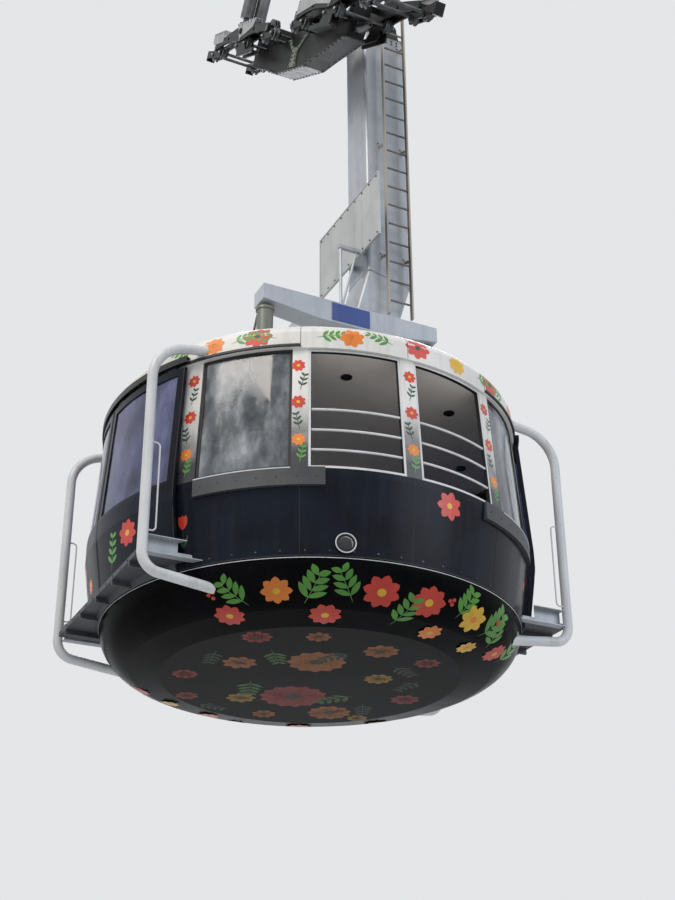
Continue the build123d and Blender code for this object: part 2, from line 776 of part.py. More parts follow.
def turning_floor():
    low = floor_top - floor_t
    return sector([(0, low), (floor_r, low), (floor_r, floor_top), (0, floor_top)])


def lower_wall(middle):
    return sector(shell(lower_out), middle - jamb_to, 2 * jamb_to)


def pillars(middle):
    spots = [(k * pillar_pitch - pillar_deg / 2, pillar_deg) for k in (-1, 0, 1)]
    spots += [(-jamb_to, jamb_to - jamb_from), (jamb_from, jamb_to - jamb_from)]
    return [sector(shell(upper_out), middle + start, arc) for start, arc in spots]


glazed_half = pillar_pitch + pillar_deg / 2
window_spans = [(-jamb_from, -glazed_half), (-pillar_pitch + pillar_deg / 2, -pillar_deg / 2),
                (pillar_deg / 2, pillar_pitch - pillar_deg / 2), (glazed_half, jamb_from)]
gasket_deg = degrees(gasket_w / sill_r)


def window_frame(start, end, middle):
    """Rubber frame round one window."""
    outer = [(wall_r(z) - frame_set, z) for z in (sill_h, head_h)]
    profile = outer + [(r - frame_depth, z) for r, z in reversed(outer)]
    low, high = sill_h + gasket_w, head_h - gasket_w
    hole = [(sill_r + wall_t, low), (sill_r + wall_t, high), (head_ring_r - 2 * wall_t, high),
            (head_ring_r - 2 * wall_t, low)]
    opening = sector(hole, middle + start + gasket_deg, end - start - 2 * gasket_deg)
    return sector(profile, middle + start, end - start) - opening


def window_glass(start, end, middle):
    low, high = sill_h + gasket_w, head_h - gasket_w
    outer = [(wall_r(z) - glass_set, z) for z in (low, high)]
    profile = outer + [(r - glass_t, z) for r, z in reversed(outer)]
    return sector(profile, middle + start + gasket_deg, end - start - 2 * gasket_deg)


def guard_rails(start, end, middle):
    """Round bars across one open window."""
    return [ring_tube(wall_r(z) - guard_set, z, guard_r, middle + start + gasket_deg, end - start - 2 * gasket_deg)
            for z in rail_heights]


def grab_rail(start, end, middle):
    """Inner rail behind a glazed window, on a bracket at each end."""
    ring = wall_r(grab_h) - grab_set
    rail = ring_tube(ring, grab_h, grab_r, middle + start - 1, end - start + 2)
    reach = (wall_r(grab_h) - wall_t - ring) / 2
    for azimuth in (start - 1, end - 1):
        rail += ring_bar(ring + reach, grab_h, reach, grab_r, middle + azimuth, 2)
    return rail - sector(shell(upper_out), middle + start - 6, end - start + 12)


def ledge(start, end):
    """Projecting band under an outer window, which guides the sliding door."""
    reach = sill_r + ledge_out
    profile = [(seam_r, ledge_low), (reach, ledge_low), (reach, sill_h), (seam_r, sill_h)]
    skin = [(p[0] + ledge_seal, *p[1:]) for p in lower_out]
    return sector(profile, start, end - start) - sector([(0, 0)] + skin + [(0, sill_h)], start - 1, end - start + 2)


def fascia_ring():
    inner = head_ring_r - wall_t
    return sector([(inner, head_h), (fascia_r, head_h), (fascia_r, fascia_top), (inner, fascia_top)])


def roof_shell():
    return sector([(head_ring_r - wall_t, fascia_top)] + roof_outline() + list(reversed(roof_outline(roof_t))))


def ceiling():
    edge = head_ring_r - wall_t
    return sector([(0, head_h - ceiling_t), (edge, head_h - ceiling_t), (edge, head_h), (0, head_h)])


def ceiling_lamp(azimuth):
    a = radians(azimuth)
    spot = Pos(lamp_ring * sin(a), -lamp_ring * cos(a), head_h - ceiling_t - lamp_t)
    disc = Cylinder(lamp_r, lamp_t, align=(Align.CENTER, Align.CENTER, Align.MIN))
    return spot * (disc - Pos(0, 0, -1) * Cylinder(lamp_r * 0.7, lamp_t / 2 + 1, align=(Align.CENTER, Align.CENTER, Align.MIN)))


def port_lamp():
    """Round lamp socket on the lower wall with a raised rim."""
    z = port_h
    r = seam_r + (belly_r - seam_r) * z / belly_h
    rim = rod((0, -r + wall_t / 2, z), (0, -r - port_out, z), port_r)
    rim -= rod((0, -r - port_out / 2, z), (0, -r - port_out - 1, z), port_r * 0.78)
    return Rot(0, 0, port_azimuth) * rim - sector([(0, 0)] + lower_out + [(0, sill_h)])


def door_track(middle):
    """Thin track along the fascia, with a hollow cover over the closed doors."""
    low = head_h + track_z
    top = low + track_h
    track = sector([(fascia_r, low), (fascia_r + track_w, low), (fascia_r + track_w, top), (fascia_r, top)],
                   middle - jamb_to - 2, 2 * (jamb_to + 2))
    edge = fascia_r + cover_w
    roof = top + 2 * track_h
    hood = sector([(edge - cover_t, low), (edge, low), (edge, roof), (fascia_r, roof), (fascia_r, roof - cover_t),
                   (edge - cover_t, roof - cover_t)], middle - cover_half_deg, 2 * cover_half_deg)
    return [track, hood]


def door_r(z):
    """Outer radius of a door leaf at a height."""
    waist = sill_r + ledge_out + door_air + door_t
    foot, top = seam_r + door_foot_out, head_ring_r + door_head_out
    if z <= ledge_low:
        return foot + (waist - foot) * (z - door_bottom) / (ledge_low - door_bottom)
    if z <= sill_h:
        return waist
    return waist + (top - waist) * (z - sill_h) / (door_top - sill_h)


door_top = head_h - door_head_gap
leaf_arc = door_meet - door_from


def door_profile(inset, low, high, thick):
    heights = [low] + [z for z in (ledge_low, sill_h) if low < z < high] + [high]
    outer = [(door_r(z) - inset, z) for z in heights]
    return outer + [(r - thick, z) for r, z in reversed(outer)]


def door_leaf(start, arc):
    """Curved leaf with its window cut and two hanger tabs that reach up under the cover."""
    low, high = sill_h + door_frame_low, door_top - door_frame_high
    reach = door_r(sill_h) + door_t
    near = head_ring_r - door_t
    hole = [(near, low), (reach, low), (reach, high), (near, high)]
    leaf = sector(door_profile(0, door_bottom, door_top, door_t), start, arc)
    leaf -= sector(hole, start + door_frame_deg, arc - 2 * door_frame_deg)
    tab_out = door_r(door_top) - hanger_tab_t / 5
    for azimuth in (start + hanger_tab_deg, start + arc - 2 * hanger_tab_deg):
        tab = [(tab_out - hanger_tab_t, door_top - 1), (tab_out, door_top - 1), (tab_out, door_top + hanger_tab_h),
               (tab_out - hanger_tab_t, door_top + hanger_tab_h)]
        leaf += sector(tab, azimuth, hanger_tab_deg)
    return leaf


def door_glass(start, arc):
    low, high = sill_h + door_frame_low, door_top - door_frame_high
    return sector(door_profile(door_glass_set, low, high, door_glass_t), start + door_frame_deg, arc - 2 * door_frame_deg)


def upright_drum(r, low, high):
    return Pos(0, 0, low) * Cylinder(r, high - low, align=(Align.CENTER, Align.CENTER, Align.MIN))


def platform(side):
    """Docking platform before the doors: a deck on ribs, bent round the hull."""
    under = platform_top - platform_t
    plan = box(0, platform_x, -platform_y, platform_y, under, platform_top)
    plan -= upright_drum(seam_r + platform_gap, -sill_h, sill_h)
    rim = seam_r + platform_gap + 5
    plan += sector([(seam_r - wall_t, 0), (seam_r, 0), (rim, under), (rim, platform_top), (seam_r - wall_t, platform_top)],
                   90 - jamb_to / 2, jamb_to)
    for y in rib_spots:
        rib = box(seam_r * 0.8, platform_x, y - rib_t / 2, y + rib_t / 2, rib_low, under)
        plan += rib - upright_drum(seam_r + 8, -sill_h, sill_h)
    return plan if side > 0 else mirror(plan, Plane.YZ)


def end_channel(side, way):
    """Channel at a platform's end, from the body out to the bumper tube."""
    y0, y1 = channel_y, channel_y + channel_d
    outer = box(seam_r * 0.7, bumper_x - bumper_r - 1, y0, y1, channel_low, channel_high)
    outer -= box(0, bumper_x, y0 + channel_t, y1 + 1, channel_low + channel_t, channel_high - channel_t)
    outer -= sector([(0, 0)] + lower_out + [(0, sill_h)])
    outer -= upright_drum(door_r(channel_high) + 2 * door_air, door_bottom - door_air, sill_h)
    outer = outer if way > 0 else mirror(outer, Plane.XZ)
    return outer if side > 0 else mirror(outer, Plane.YZ)


def bumper(side, way):
    """Tube bent from the fascia down past the doors and back to the hull."""
    y = way * bumper_y
    top_x = sqrt(fascia_r ** 2 - bumper_y ** 2) - 30
    low_x = sqrt((hull_mid_r + 20) ** 2 - bumper_y ** 2) - bumper_r
    points = [(top_x, y, bumper_top), (bumper_x, y, bumper_shoulder), (bumper_x, y, bumper_foot), (low_x, y, bumper_low)]
    path = FilletPolyline(*points, radius=(bumper_top_bend, bumper_low_bend))
    start = Vector(*points[1]) - Vector(*points[0])
    tube = sweep(Plane(origin=points[0], z_dir=start) * Circle(bumper_r), path=path)
    tube -= sector([(0, head_h - wall_t), (fascia_r, head_h - wall_t), (fascia_r, fascia_top + wall_t), (0, fascia_top + wall_t)])
    tube -= hull_solid()
    return tube if side > 0 else mirror(tube, Plane.YZ)


def stirrup(side, way):
    """Thin rod held inside a bumper tube."""
    y = way * bumper_y
    x = bumper_x - stirrup_set
    points = [(bumper_x - bumper_r, y, stirrup_high), (x, y, stirrup_high), (x, y, stirrup_low),
              (bumper_x - bumper_r, y, stirrup_low)]
    path = FilletPolyline(*points, radius=5 * stirrup_r)
    bar = sweep(Plane(origin=points[0], z_dir=(-1, 0, 0)) * Circle(stirrup_r), path=path)
    return bar if side > 0 else mirror(bar, Plane.YZ)


lid_half = hatch_half + coaming_t + lid_gap + lip_t
hinge_x = hatch_x - lid_half
hinge_z = coaming_top + lid_gap - lip_h


def hatch_square(half, low, high):
    return box(hatch_x - half, hatch_x + half, -half, half, low, high)


hatch_cut = hatch_square(hatch_half, head_h - 2 * wall_t, coaming_top + wall_t)


def coaming():
    """Raised rim of the roof hatch, standing on the roof."""
    return hatch_square(hatch_half + coaming_t, roof_z, coaming_top) - hatch_cut - roof_solid()


def hinge_bar(r, y0, y1):
    return rod((hinge_x, y0, hinge_z), (hinge_x, y1, hinge_z), r)


def hatch_lid():
    """Flat lid with a turned-down lip round the coaming and two hinge knuckles."""
    low = coaming_top + lid_gap
    lid = hatch_square(lid_half, low, low + lid_t) + hatch_square(lid_half, low - lip_h, low)
    lid -= hatch_square(lid_half - lip_t, low - lip_h - 1, low)
    half = hinge_w / 2
    room = hinge_lug_t + 2 * lid_gap
    for y in (-hinge_y, hinge_y):
        lid += hinge_bar(hinge_r, y - half, y + half)
        lid -= hinge_bar(hinge_pin_r + hinge_gap, y - half, y + half)
        lid -= hinge_bar(hinge_r + hinge_gap, y + half, y + half + room)
        lid -= hinge_bar(hinge_r + hinge_gap, y - half - room, y - half)
    return lid


def hinge_lugs():
    """Two lugs on the roof for each knuckle, with the pin through them."""
    lugs = []
    foot = 0.7 * hinge_r
    for y in (-hinge_y, hinge_y):
        for way in sides:
            near = y + way * (hinge_w / 2 + lid_gap)
            far = near + way * hinge_lug_t
            a, b = min(near, far), max(near, far)
            lugs.append(box(hinge_x - foot, hinge_x + foot, a, b, roof_z, hinge_z - foot))
            lugs.append(hinge_bar(hinge_r, a, b))
        lugs.append(hinge_bar(hinge_pin_r, y - hinge_w / 2 - lid_gap, y + hinge_w / 2 + lid_gap))
    return joined(lugs) - roof_solid()


save("floor_pan", cabin * floor_pan())
save("turning_floor", cabin * turning_floor())
save("lower_wall_front", cabin * lower_wall(0.0))
save("lower_wall_rear", cabin * lower_wall(180.0))
save("pillars", cabin * group([post for m in halves for post in pillars(m)]))
save("window_frames", cabin * group([window_frame(a, b, m) for m in halves for a, b in window_spans]))
save("window_glass", cabin * group([window_glass(*window_spans[k], m) for m in halves for k in (0, 3)]))
save("guard_rails", cabin * group([bar for m in halves for k in (1, 2) for bar in guard_rails(*window_spans[k], m)]))
save("grab_rails", cabin * group([grab_rail(*window_spans[k], m) for m in halves for k in (0, 3)]))
ledge_spans = ((-jamb_from, -ledge_from), (ledge_from, jamb_from))
save("door_ledges", cabin * group([ledge(m + a, m + b) for m in halves for a, b in ledge_spans]))
save("port_lamps", cabin * group([Rot(0, 0, m) * port_lamp() for m in halves]))
save("fascia_ring", cabin * fascia_ring())
save("roof_shell", cabin * (roof_shell() - hatch_cut))
save("hatch_coaming", cabin * group([coaming(), hinge_lugs()]))
save("ceiling", cabin * (ceiling() - hatch_cut))
save("ceiling_lamps", cabin * group([ceiling_lamp(lamp_first + 360 * k / lamp_count) for k in range(lamp_count)]))
save("roof_hatch", cabin * hatch_lid())
save("door_rails", cabin * group([bar for m in (-90.0, 90.0) for bar in door_track(m)]))
save("platforms", cabin * group([platform(side) for side in sides]))
save("platform_channels", cabin * group([end_channel(side, way) for side in sides for way in sides]))
save("bumpers", cabin * group([bumper(side, way) for side in sides for way in sides]))
save("bumper_stirrups", cabin * group([stirrup(side, way) for side in sides for way in sides]))
leaves = (("right_front", door_from), ("right_rear", 180 - door_meet),
          ("left_front", -door_meet), ("left_rear", 180 + door_from))
for label, start in leaves:
    save(f"door_{label}", cabin * door_leaf(start, leaf_arc))
    save(f"door_glass_{label}", cabin * door_glass(start, leaf_arc))
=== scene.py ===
import json
import math
import bpy
import numpy as np
from mathutils import Matrix, Vector


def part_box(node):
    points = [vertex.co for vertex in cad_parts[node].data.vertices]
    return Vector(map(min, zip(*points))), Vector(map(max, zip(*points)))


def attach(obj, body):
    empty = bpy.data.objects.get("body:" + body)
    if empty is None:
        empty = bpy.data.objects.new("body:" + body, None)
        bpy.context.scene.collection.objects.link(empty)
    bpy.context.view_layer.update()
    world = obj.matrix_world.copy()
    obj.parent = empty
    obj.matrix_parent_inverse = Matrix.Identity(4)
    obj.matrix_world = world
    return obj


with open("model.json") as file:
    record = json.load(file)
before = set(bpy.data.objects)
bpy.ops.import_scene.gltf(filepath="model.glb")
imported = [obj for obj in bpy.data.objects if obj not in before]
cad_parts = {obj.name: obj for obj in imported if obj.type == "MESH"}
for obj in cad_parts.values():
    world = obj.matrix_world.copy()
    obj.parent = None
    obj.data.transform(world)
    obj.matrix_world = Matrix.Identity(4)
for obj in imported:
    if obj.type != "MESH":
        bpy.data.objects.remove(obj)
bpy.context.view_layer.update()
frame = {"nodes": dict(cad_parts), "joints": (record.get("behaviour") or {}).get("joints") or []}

nodes = frame["nodes"]
joints = {j["name"]: j for j in frame["joints"]}

# places that everything is set out from, read off the frame
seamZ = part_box("lower_wall_front")[0].z  # ring where bowl and wall meet
cabinY = joints["floor_turn"]["pos_m"][1]  # the cabin's upright axis, x is 0
ropeSlope = math.radians(33)
print("frame loaded, seam at", round(seamZ, 3))


# sRGB hex to linear: below 0.04045 divide by 12.92, above it the 2.4 power curve
def linear(code, alpha=1.0):
    c = np.array([int(code[i:i + 2], 16) for i in (1, 3, 5)]) / 255
    c = np.where(c <= 0.04045, c / 12.92, ((c + 0.055) / 1.055) ** 2.4)
    return (*c.tolist(), alpha)


# adds one node, sets its options and sockets, and links other sockets into it
def addNode(mat, kind, settings=None, links=None):
    node = mat.node_tree.nodes.new(kind)
    for key, value in (settings or {}).items():
        if isinstance(key, int) or key in node.inputs:
            node.inputs[key].default_value = value
        else:
            setattr(node, key, value)
    for key, source in (links or {}).items():
        mat.node_tree.links.new(source, node.inputs[key])
    return node


def shaderInputs(mat):
    return mat.node_tree.nodes["Principled BSDF"].inputs


# a material with plain values on its shader's sockets
def newMaterial(name, colour, roughness, sockets):
    mat = bpy.data.materials.new(name)
    mat.use_nodes = True
    mat.diffuse_color = linear(colour)
    for key, value in {"Base Color": linear(colour), "Roughness": roughness, **sockets}.items():
        shaderInputs(mat)[key].default_value = value
    return mat


# links an output into a socket of the material's shader
def feed(mat, socket, output):
    mat.node_tree.links.new(output, shaderInputs(mat)[socket])


speckSize = 0.03  # metres across a speck of dirt
wearRange = 0.06  # how far wear moves the roughness, either way


# A coated surface in object coordinates: a cloudy tone, run-down streaks that are long in z,
# specks of dirt, and a fine bump. cloud and grain are sizes in metres on the object, and streak
# and speck are the largest shares of dirt.
def coated(name, colour, second, dirt, roughness, streak, bump, metallic=0.0, coat=0.0, specular=0.5,
           cloud=0.5, speck=0.3, grain=0.004):
    sockets = {"Metallic": metallic, "Specular IOR Level": specular}
    if coat:
        sockets |= {"Coat Weight": coat, "Coat Roughness": 0.08}
    mat = newMaterial(name, colour, roughness, sockets)
    place = addNode(mat, "ShaderNodeTexCoord").outputs["Object"]
    clouds = addNode(mat, "ShaderNodeTexNoise", {"Scale": 1 / cloud, "Detail": 4.0}, {"Vector": place})
    cloudShare = addNode(mat, "ShaderNodeMapRange", {1: 0.35, 2: 0.68}, {0: clouds.outputs[0]})
    tone = addNode(mat, "ShaderNodeMix", {"data_type": "RGBA", 6: linear(colour), 7: linear(second)},
                   {0: cloudShare.outputs[0]})
    stretch = addNode(mat, "ShaderNodeMapping", {"Scale": (9.0, 9.0, 0.7)}, {"Vector": place})
    streaks = addNode(mat, "ShaderNodeTexNoise", {"Scale": 1.0, "Detail": 5.0, "Roughness": 0.6},
                      {"Vector": stretch.outputs[0]})
    streakShare = addNode(mat, "ShaderNodeMapRange", {1: 0.50, 2: 0.78, 4: streak}, {0: streaks.outputs[0]})
    streaked = addNode(mat, "ShaderNodeMix", {"data_type": "RGBA", 7: linear(dirt)},
                       {0: streakShare.outputs[0], 6: tone.outputs[2]})
    specks = addNode(mat, "ShaderNodeTexNoise", {"Scale": 1 / speckSize, "Detail": 3.0}, {"Vector": place})
    speckShare = addNode(mat, "ShaderNodeMapRange", {1: 0.64, 2: 0.72, 4: speck}, {0: specks.outputs[0]})
    specked = addNode(mat, "ShaderNodeMix", {"data_type": "RGBA", 7: linear(dirt)},
                      {0: speckShare.outputs[0], 6: streaked.outputs[2]})
    feed(mat, "Base Color", specked.outputs[2])
    wear = addNode(mat, "ShaderNodeMapRange", {1: 0.3, 2: 0.75, 3: roughness - wearRange,
                                               4: roughness + wearRange}, {0: streaks.outputs[0]})
    feed(mat, "Roughness", wear.outputs[0])
    grains = addNode(mat, "ShaderNodeTexNoise", {"Scale": 1 / grain, "Detail": 2.0}, {"Vector": place})
    rough = addNode(mat, "ShaderNodeBump", {"Strength": bump, "Distance": 0.002},
                    {"Height": grains.outputs[0]})
    feed(mat, "Normal", rough.outputs[0])
    return mat


# what a coated material's colour comes from, its object coordinates, and the same as X, Y and Z
def coatedParts(mat):
    place = addNode(mat, "ShaderNodeTexCoord").outputs["Object"]
    axes = addNode(mat, "ShaderNodeSeparateXYZ", links={"Vector": place})
    return shaderInputs(mat)["Base Color"].links[0].from_socket, place, axes.outputs


# paler beyond a distance to either side of middle in x, as a ladder's stiles are beside its rungs
def paleSides(mat, middle, distance, colour):
    base, _, axes = coatedParts(mat)
    aside = addNode(mat, "ShaderNodeMath", {"operation": "SUBTRACT", 1: middle}, {0: axes["X"]})
    spread = addNode(mat, "ShaderNodeMath", {"operation": "ABSOLUTE"}, {0: aside.outputs[0]})
    share = addNode(mat, "ShaderNodeMapRange", {1: distance, 2: distance + 0.004, 4: 0.75},
                    {0: spread.outputs[0]})
    mixed = addNode(mat, "ShaderNodeMix", {"data_type": "RGBA", 7: linear(colour)},
                    {0: share.outputs[0], 6: base})
    feed(mat, "Base Color", mixed.outputs[2])


# printed over with a second colour below low, in blots up to high
def printedFoot(mat, colour, low, high):
    base, place, axes = coatedParts(mat)
    blot = addNode(mat, "ShaderNodeTexNoise", {"Scale": 5.0, "Detail": 3.0}, {"Vector": place})
    shifted = addNode(mat, "ShaderNodeMath", {"operation": "MULTIPLY_ADD", 1: 0.5},
                      {0: blot.outputs[0], 2: axes["Z"]})
    share = addNode(mat, "ShaderNodeMapRange", {1: low, 2: high}, {0: shifted.outputs[0]})
    mixed = addNode(mat, "ShaderNodeMix", {"data_type": "RGBA", 6: linear(colour)},
                    {0: share.outputs[0], 7: base})
    feed(mat, "Base Color", mixed.outputs[2])


# Cast vinyl wrap over painted aluminium: satin charcoal with road film that dulls it in streaks
charcoalWrap = coated("charcoalWrap", "#0d1119", "#151c29", "#2f343d", roughness=0.28, streak=0.25,
                      bump=0.05, speck=0.12, specular=0.13)
# The same film under the bowl, darker as painted shade: nearly black, glossy where rain washes it
bowlWrap = coated("bowlWrap", "#070809", "#0d0d10", "#221f1c", roughness=0.24, streak=0.2,
                  bump=0.05, speck=0.25, specular=0.02)
# The same film in white, greyed by rain marks below the roof's edge
whiteWrap = coated("whiteWrap", "#e6e5e2", "#d9d9d6", "#a5a198", roughness=0.36, streak=0.35,
                   bump=0.06, speck=0.2, coat=0.2)
# Film on the window pillars: white under the roof, printed over to charcoal towards the sill
pillarWrap = coated("pillarWrap", "#e6e5e2", "#dcdcd8", "#a5a198", roughness=0.36, streak=0.35,
                    bump=0.06, speck=0.2, coat=0.2)
printedFoot(pillarWrap, "#33363c", seamZ + 1.35, seamZ + 2.1)
# Hot-dip galvanised plate, grey and blotchy, dull after years outside
galvanised = coated("galvanisedSteel", "#adb2b9", "#a1a6ad", "#6d6c6e", roughness=0.44, streak=0.3,
                    bump=0.12, metallic=0.35, cloud=0.25)
# Ladder of the same steel, its rungs brown and darker, its stiles paler
ladderSteel = coated("ladderSteel", "#77726d", "#625c57", "#3f3630", roughness=0.5, streak=0.5,
                     bump=0.2, metallic=0.3, cloud=0.15, speck=0.4)
ladderX, stileFrom = 1.060, 0.158  # the ladder's middle, and its stiles' inner faces from there
paleSides(ladderSteel, ladderX, stileFrom, "#b3afa9")
# Two-pack enamel on the roof beams: pale blue grey
beamEnamel = coated("beamEnamel", "#aeb6c0", "#a2aab4", "#757678", roughness=0.38, streak=0.3,
                    bump=0.08, coat=0.2)
# Mill-finish aluminium sheet of the side board
boardSheet = coated("boardSheet", "#bdc0c0", "#aeb1b1", "#84827e", roughness=0.42, streak=0.35,
                    bump=0.08, metallic=0.6)
# Grey-green machine enamel on the dampers
damperEnamel = coated("damperEnamel", "#767c74", "#676d66", "#3d3b38", roughness=0.4, streak=0.4, bump=0.1)
# Pale grey powder coat on the bumper tubes, scuffed and stained
tubePowder = coated("tubePowderCoat", "#d2d5d8", "#c4c8cb", "#85837d", roughness=0.38, streak=0.45,
                    bump=0.12, speck=0.45)
# White enamel on the guard rails and the bumpers' stirrups
railEnamel = coated("railEnamel", "#dedfe0", "#cfd0d1", "#8d8b86", roughness=0.3, streak=0.2, bump=0.05)
# Black paint on the carriage under years of rope grease and dust
carriageBlack = coated("greasyBlackPaint", "#090a0b", "#121314", "#2b2824", roughness=0.42, streak=0.5,
                       bump=0.5, specular=0.2, cloud=0.2, speck=0.5, grain=0.008)
# Turned steel of rollers, pins and bolts, grey with patches that old grease has browned
machinedSteel = coated("machinedSteel", "#66676a", "#454443", "#2a2725", roughness=0.36, streak=0.4,
                       bump=0.15, metallic=0.85, cloud=0.12)
# Near black paint on the girder's bottom flange under a film of rope grease
flangePaint = coated("flangePaint", "#1b1c1b", "#242523", "#33302b", roughness=0.5, streak=0.5,
                     bump=0.4, speck=0.6)
# Grey green machine enamel of the pin's brackets
bracketPaint = coated("bracketPaint", "#6a7266", "#5b6258", "#302d29", roughness=0.48, streak=0.5,
                      bump=0.3, speck=0.5)
# Light grey sheet covers over the rockers
coverPaint = coated("coverPaint", "#9b9ea1", "#85888b", "#45413c", roughness=0.42, streak=0.6,
                    bump=0.1, speck=0.5)
# Grey machine paint on the brake cylinders, mottled with dark grease
cylinderPaint = coated("cylinderPaint", "#6f7275", "#3b3c3e", "#1f1d1b", roughness=0.38, streak=0.5,
                       bump=0.1, cloud=0.35, speck=0.4)
# Dark grey deck paint on the door platforms and the ledges under the windows
deckPaint = coated("deckPaint", "#34373c", "#40444a", "#5d5a55", roughness=0.5, streak=0.4,
                   bump=0.3, speck=0.4)
# Black anodised door rail
blackRail = coated("blackRail", "#17181b", "#202226", "#47443f", roughness=0.35, streak=0.3, bump=0.05)
# Extruded rubber of the window frames and the door edges
sealRubber = coated("sealRubber", "#141416", "#1d1d1f", "#3c3a37", roughness=0.6, streak=0.3, bump=0.2)
# Pale laminate lining of the ceiling
ceilingLining = coated("ceilingLining", "#f3ede6", "#e9e2da", "#bdb3a9", roughness=0.55, streak=0.1, bump=0.1)
# Studded rubber floor
floorRubber = coated("floorRubber", "#8f9093", "#9b9c9f", "#5f5b55", roughness=0.6, streak=0.2,
                     bump=0.4, grain=0.02)
# Black plastic of lamp bodies
lampBlack = coated("lampBlack", "#131315", "#1c1c1e", "#3b3935", roughness=0.3, streak=0.2, bump=0.05)
# Brushed stainless grab rail
grabSteel = coated("grabSteel", "#b9babc", "#abacae", "#7d7b78", roughness=0.25, streak=0.2,
                   bump=0.05, metallic=0.9)
# Enamelled plate, deep blue, left blank
plateBlue = coated("plateBlue", "#20408a", "#1e3b80", "#5a5a66", roughness=0.3, streak=0.15,
                   bump=0.03, speck=0.1, coat=0.3)


# Tinted acrylic pane: a see-through tint with a film of dust and dried rain that runs down it
# in streaks, so the pane is milky where the film is thick
def pane(name, tint, film, share):
    mat = newMaterial(name, tint, 0.03, {"Transmission Weight": 0.9, "IOR": 1.49})
    place = addNode(mat, "ShaderNodeTexCoord").outputs["Object"]
    stretch = addNode(mat, "ShaderNodeMapping", {"Scale": (1.6, 1.6, 0.8)}, {"Vector": place})
    smear = addNode(mat, "ShaderNodeTexNoise", {"Scale": 1.6, "Detail": 7.0, "Roughness": 0.62},
                    {"Vector": stretch.outputs[0]})
    thick = addNode(mat, "ShaderNodeMapRange", {1: 0.36, 2: 0.68}, {0: smear.outputs[0]})
    mixed = addNode(mat, "ShaderNodeMix", {"data_type": "RGBA", 6: linear(tint), 7: linear(film)},
                    {0: thick.outputs[0]})
    clear = addNode(mat, "ShaderNodeMapRange", {3: 0.88, 4: share}, {0: thick.outputs[0]})
    haze = addNode(mat, "ShaderNodeMapRange", {3: 0.03, 4: 0.22}, {0: thick.outputs[0]})
    feed(mat, "Base Color", mixed.outputs[2])
    feed(mat, "Transmission Weight", clear.outputs[0])
    feed(mat, "Roughness", haze.outputs[0])
    return mat


greyPane = pane("greyTintAcrylic", "#767d85", "#b9c0c7", 0.22)
bluePane = pane("blueTintAcrylic", "#4c5388", "#7f84b4", 0.45)
lensPane = pane("smokedLens", "#1c1f24", "#3c4148", 0.35)

# finishes of the CAD nodes; the lower wall and the door leaves, not listed, are in charcoal
finish = {
    "carriage_girder": carriageBlack, "main_rockers": carriageBlack, "bogie_frames": carriageBlack,
    "girder_flange": flangePaint, "pin_brackets": bracketPaint, "rocker_covers": coverPaint,
    "brake_discs": machinedSteel, "brake_cylinders": cylinderPaint, "hanger_pin": machinedSteel,
    "haul_sockets": machinedSteel, "hanger_head": carriageBlack, "hanger_column": galvanised,
    "ladder": ladderSteel, "conduits": galvanised, "hanger_yoke": beamEnamel, "roof_beams": beamEnamel,
    "side_board": boardSheet, "dampers": damperEnamel, "floor_pan": bowlWrap,
    "pillars": pillarWrap, "window_frames": sealRubber, "window_glass": greyPane, "guard_rails": railEnamel,
    "grab_rails": grabSteel, "door_ledges": deckPaint, "port_lamps": lampBlack,
    "fascia_ring": whiteWrap, "roof_shell": whiteWrap, "hatch_coaming": whiteWrap,
    "roof_hatch": whiteWrap, "ceiling": ceilingLining, "ceiling_lamps": lampBlack,
    "door_rails": blackRail, "platforms": deckPaint, "platform_channels": galvanised,
    "bumpers": tubePowder, "bumper_stirrups": railEnamel, "turning_floor": floorRubber,
}
for name, obj in nodes.items():
    mat = finish.get(name, charcoalWrap)
    if name.startswith("track_axle"):
        mat = machinedSteel
    elif name.startswith("door_glass"):
        mat = bluePane
    obj.data.materials.clear()
    obj.data.materials.append(mat)
print("finishes on", len(nodes), "nodes")

# Added pieces. Grids of points are numpy arrays; u runs round the cabin, v along its skin.
addedTriangles = []


# a mesh object at the origin, riding on a body; slot is not used
def makePiece(name, points, faces, mat, body, slot=None, smooth=False):
    points = np.asarray(points, float).reshape(-1, 3)
    mesh = bpy.data.meshes.new(name)
    mesh.from_pydata(points.tolist(), [], np.asarray(faces).tolist())
    mesh.materials.append(mat)
    mesh.polygons.foreach_set("use_smooth", np.full(len(mesh.polygons), smooth))
    mesh.update()
    obj = bpy.data.objects.new(name, mesh)
    bpy.context.scene.collection.objects.link(obj)
    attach(obj, body)
    addedTriangles.append(len(faces) * 2)


# quads of a grid of rows by columns; closed joins the last column to the first
def gridFaces(rows, columns, closed=False):
    index = np.arange(rows * columns).reshape(rows, columns)
    if closed:
        index = np.hstack([index, index[:, :1]])
    return np.stack([index[:-1, :-1], index[1:, :-1], index[1:, 1:], index[:-1, 1:]], -1).reshape(-1, 4)


# the same faces for many copies of a grid
def copies(faces, size, count):
    return (faces[None] + (np.arange(count) * size)[:, None, None]).reshape(-1, faces.shape[-1])


# several (points, faces) parts as one
def joinParts(parts):
    sizes = np.cumsum([0] + [len(np.reshape(p, (-1, 3))) for p, _ in parts])
    return (np.concatenate([np.reshape(p, (-1, 3)) for p, _ in parts]),
            np.concatenate([np.asarray(f) + s for (_, f), s in zip(parts, sizes)]))


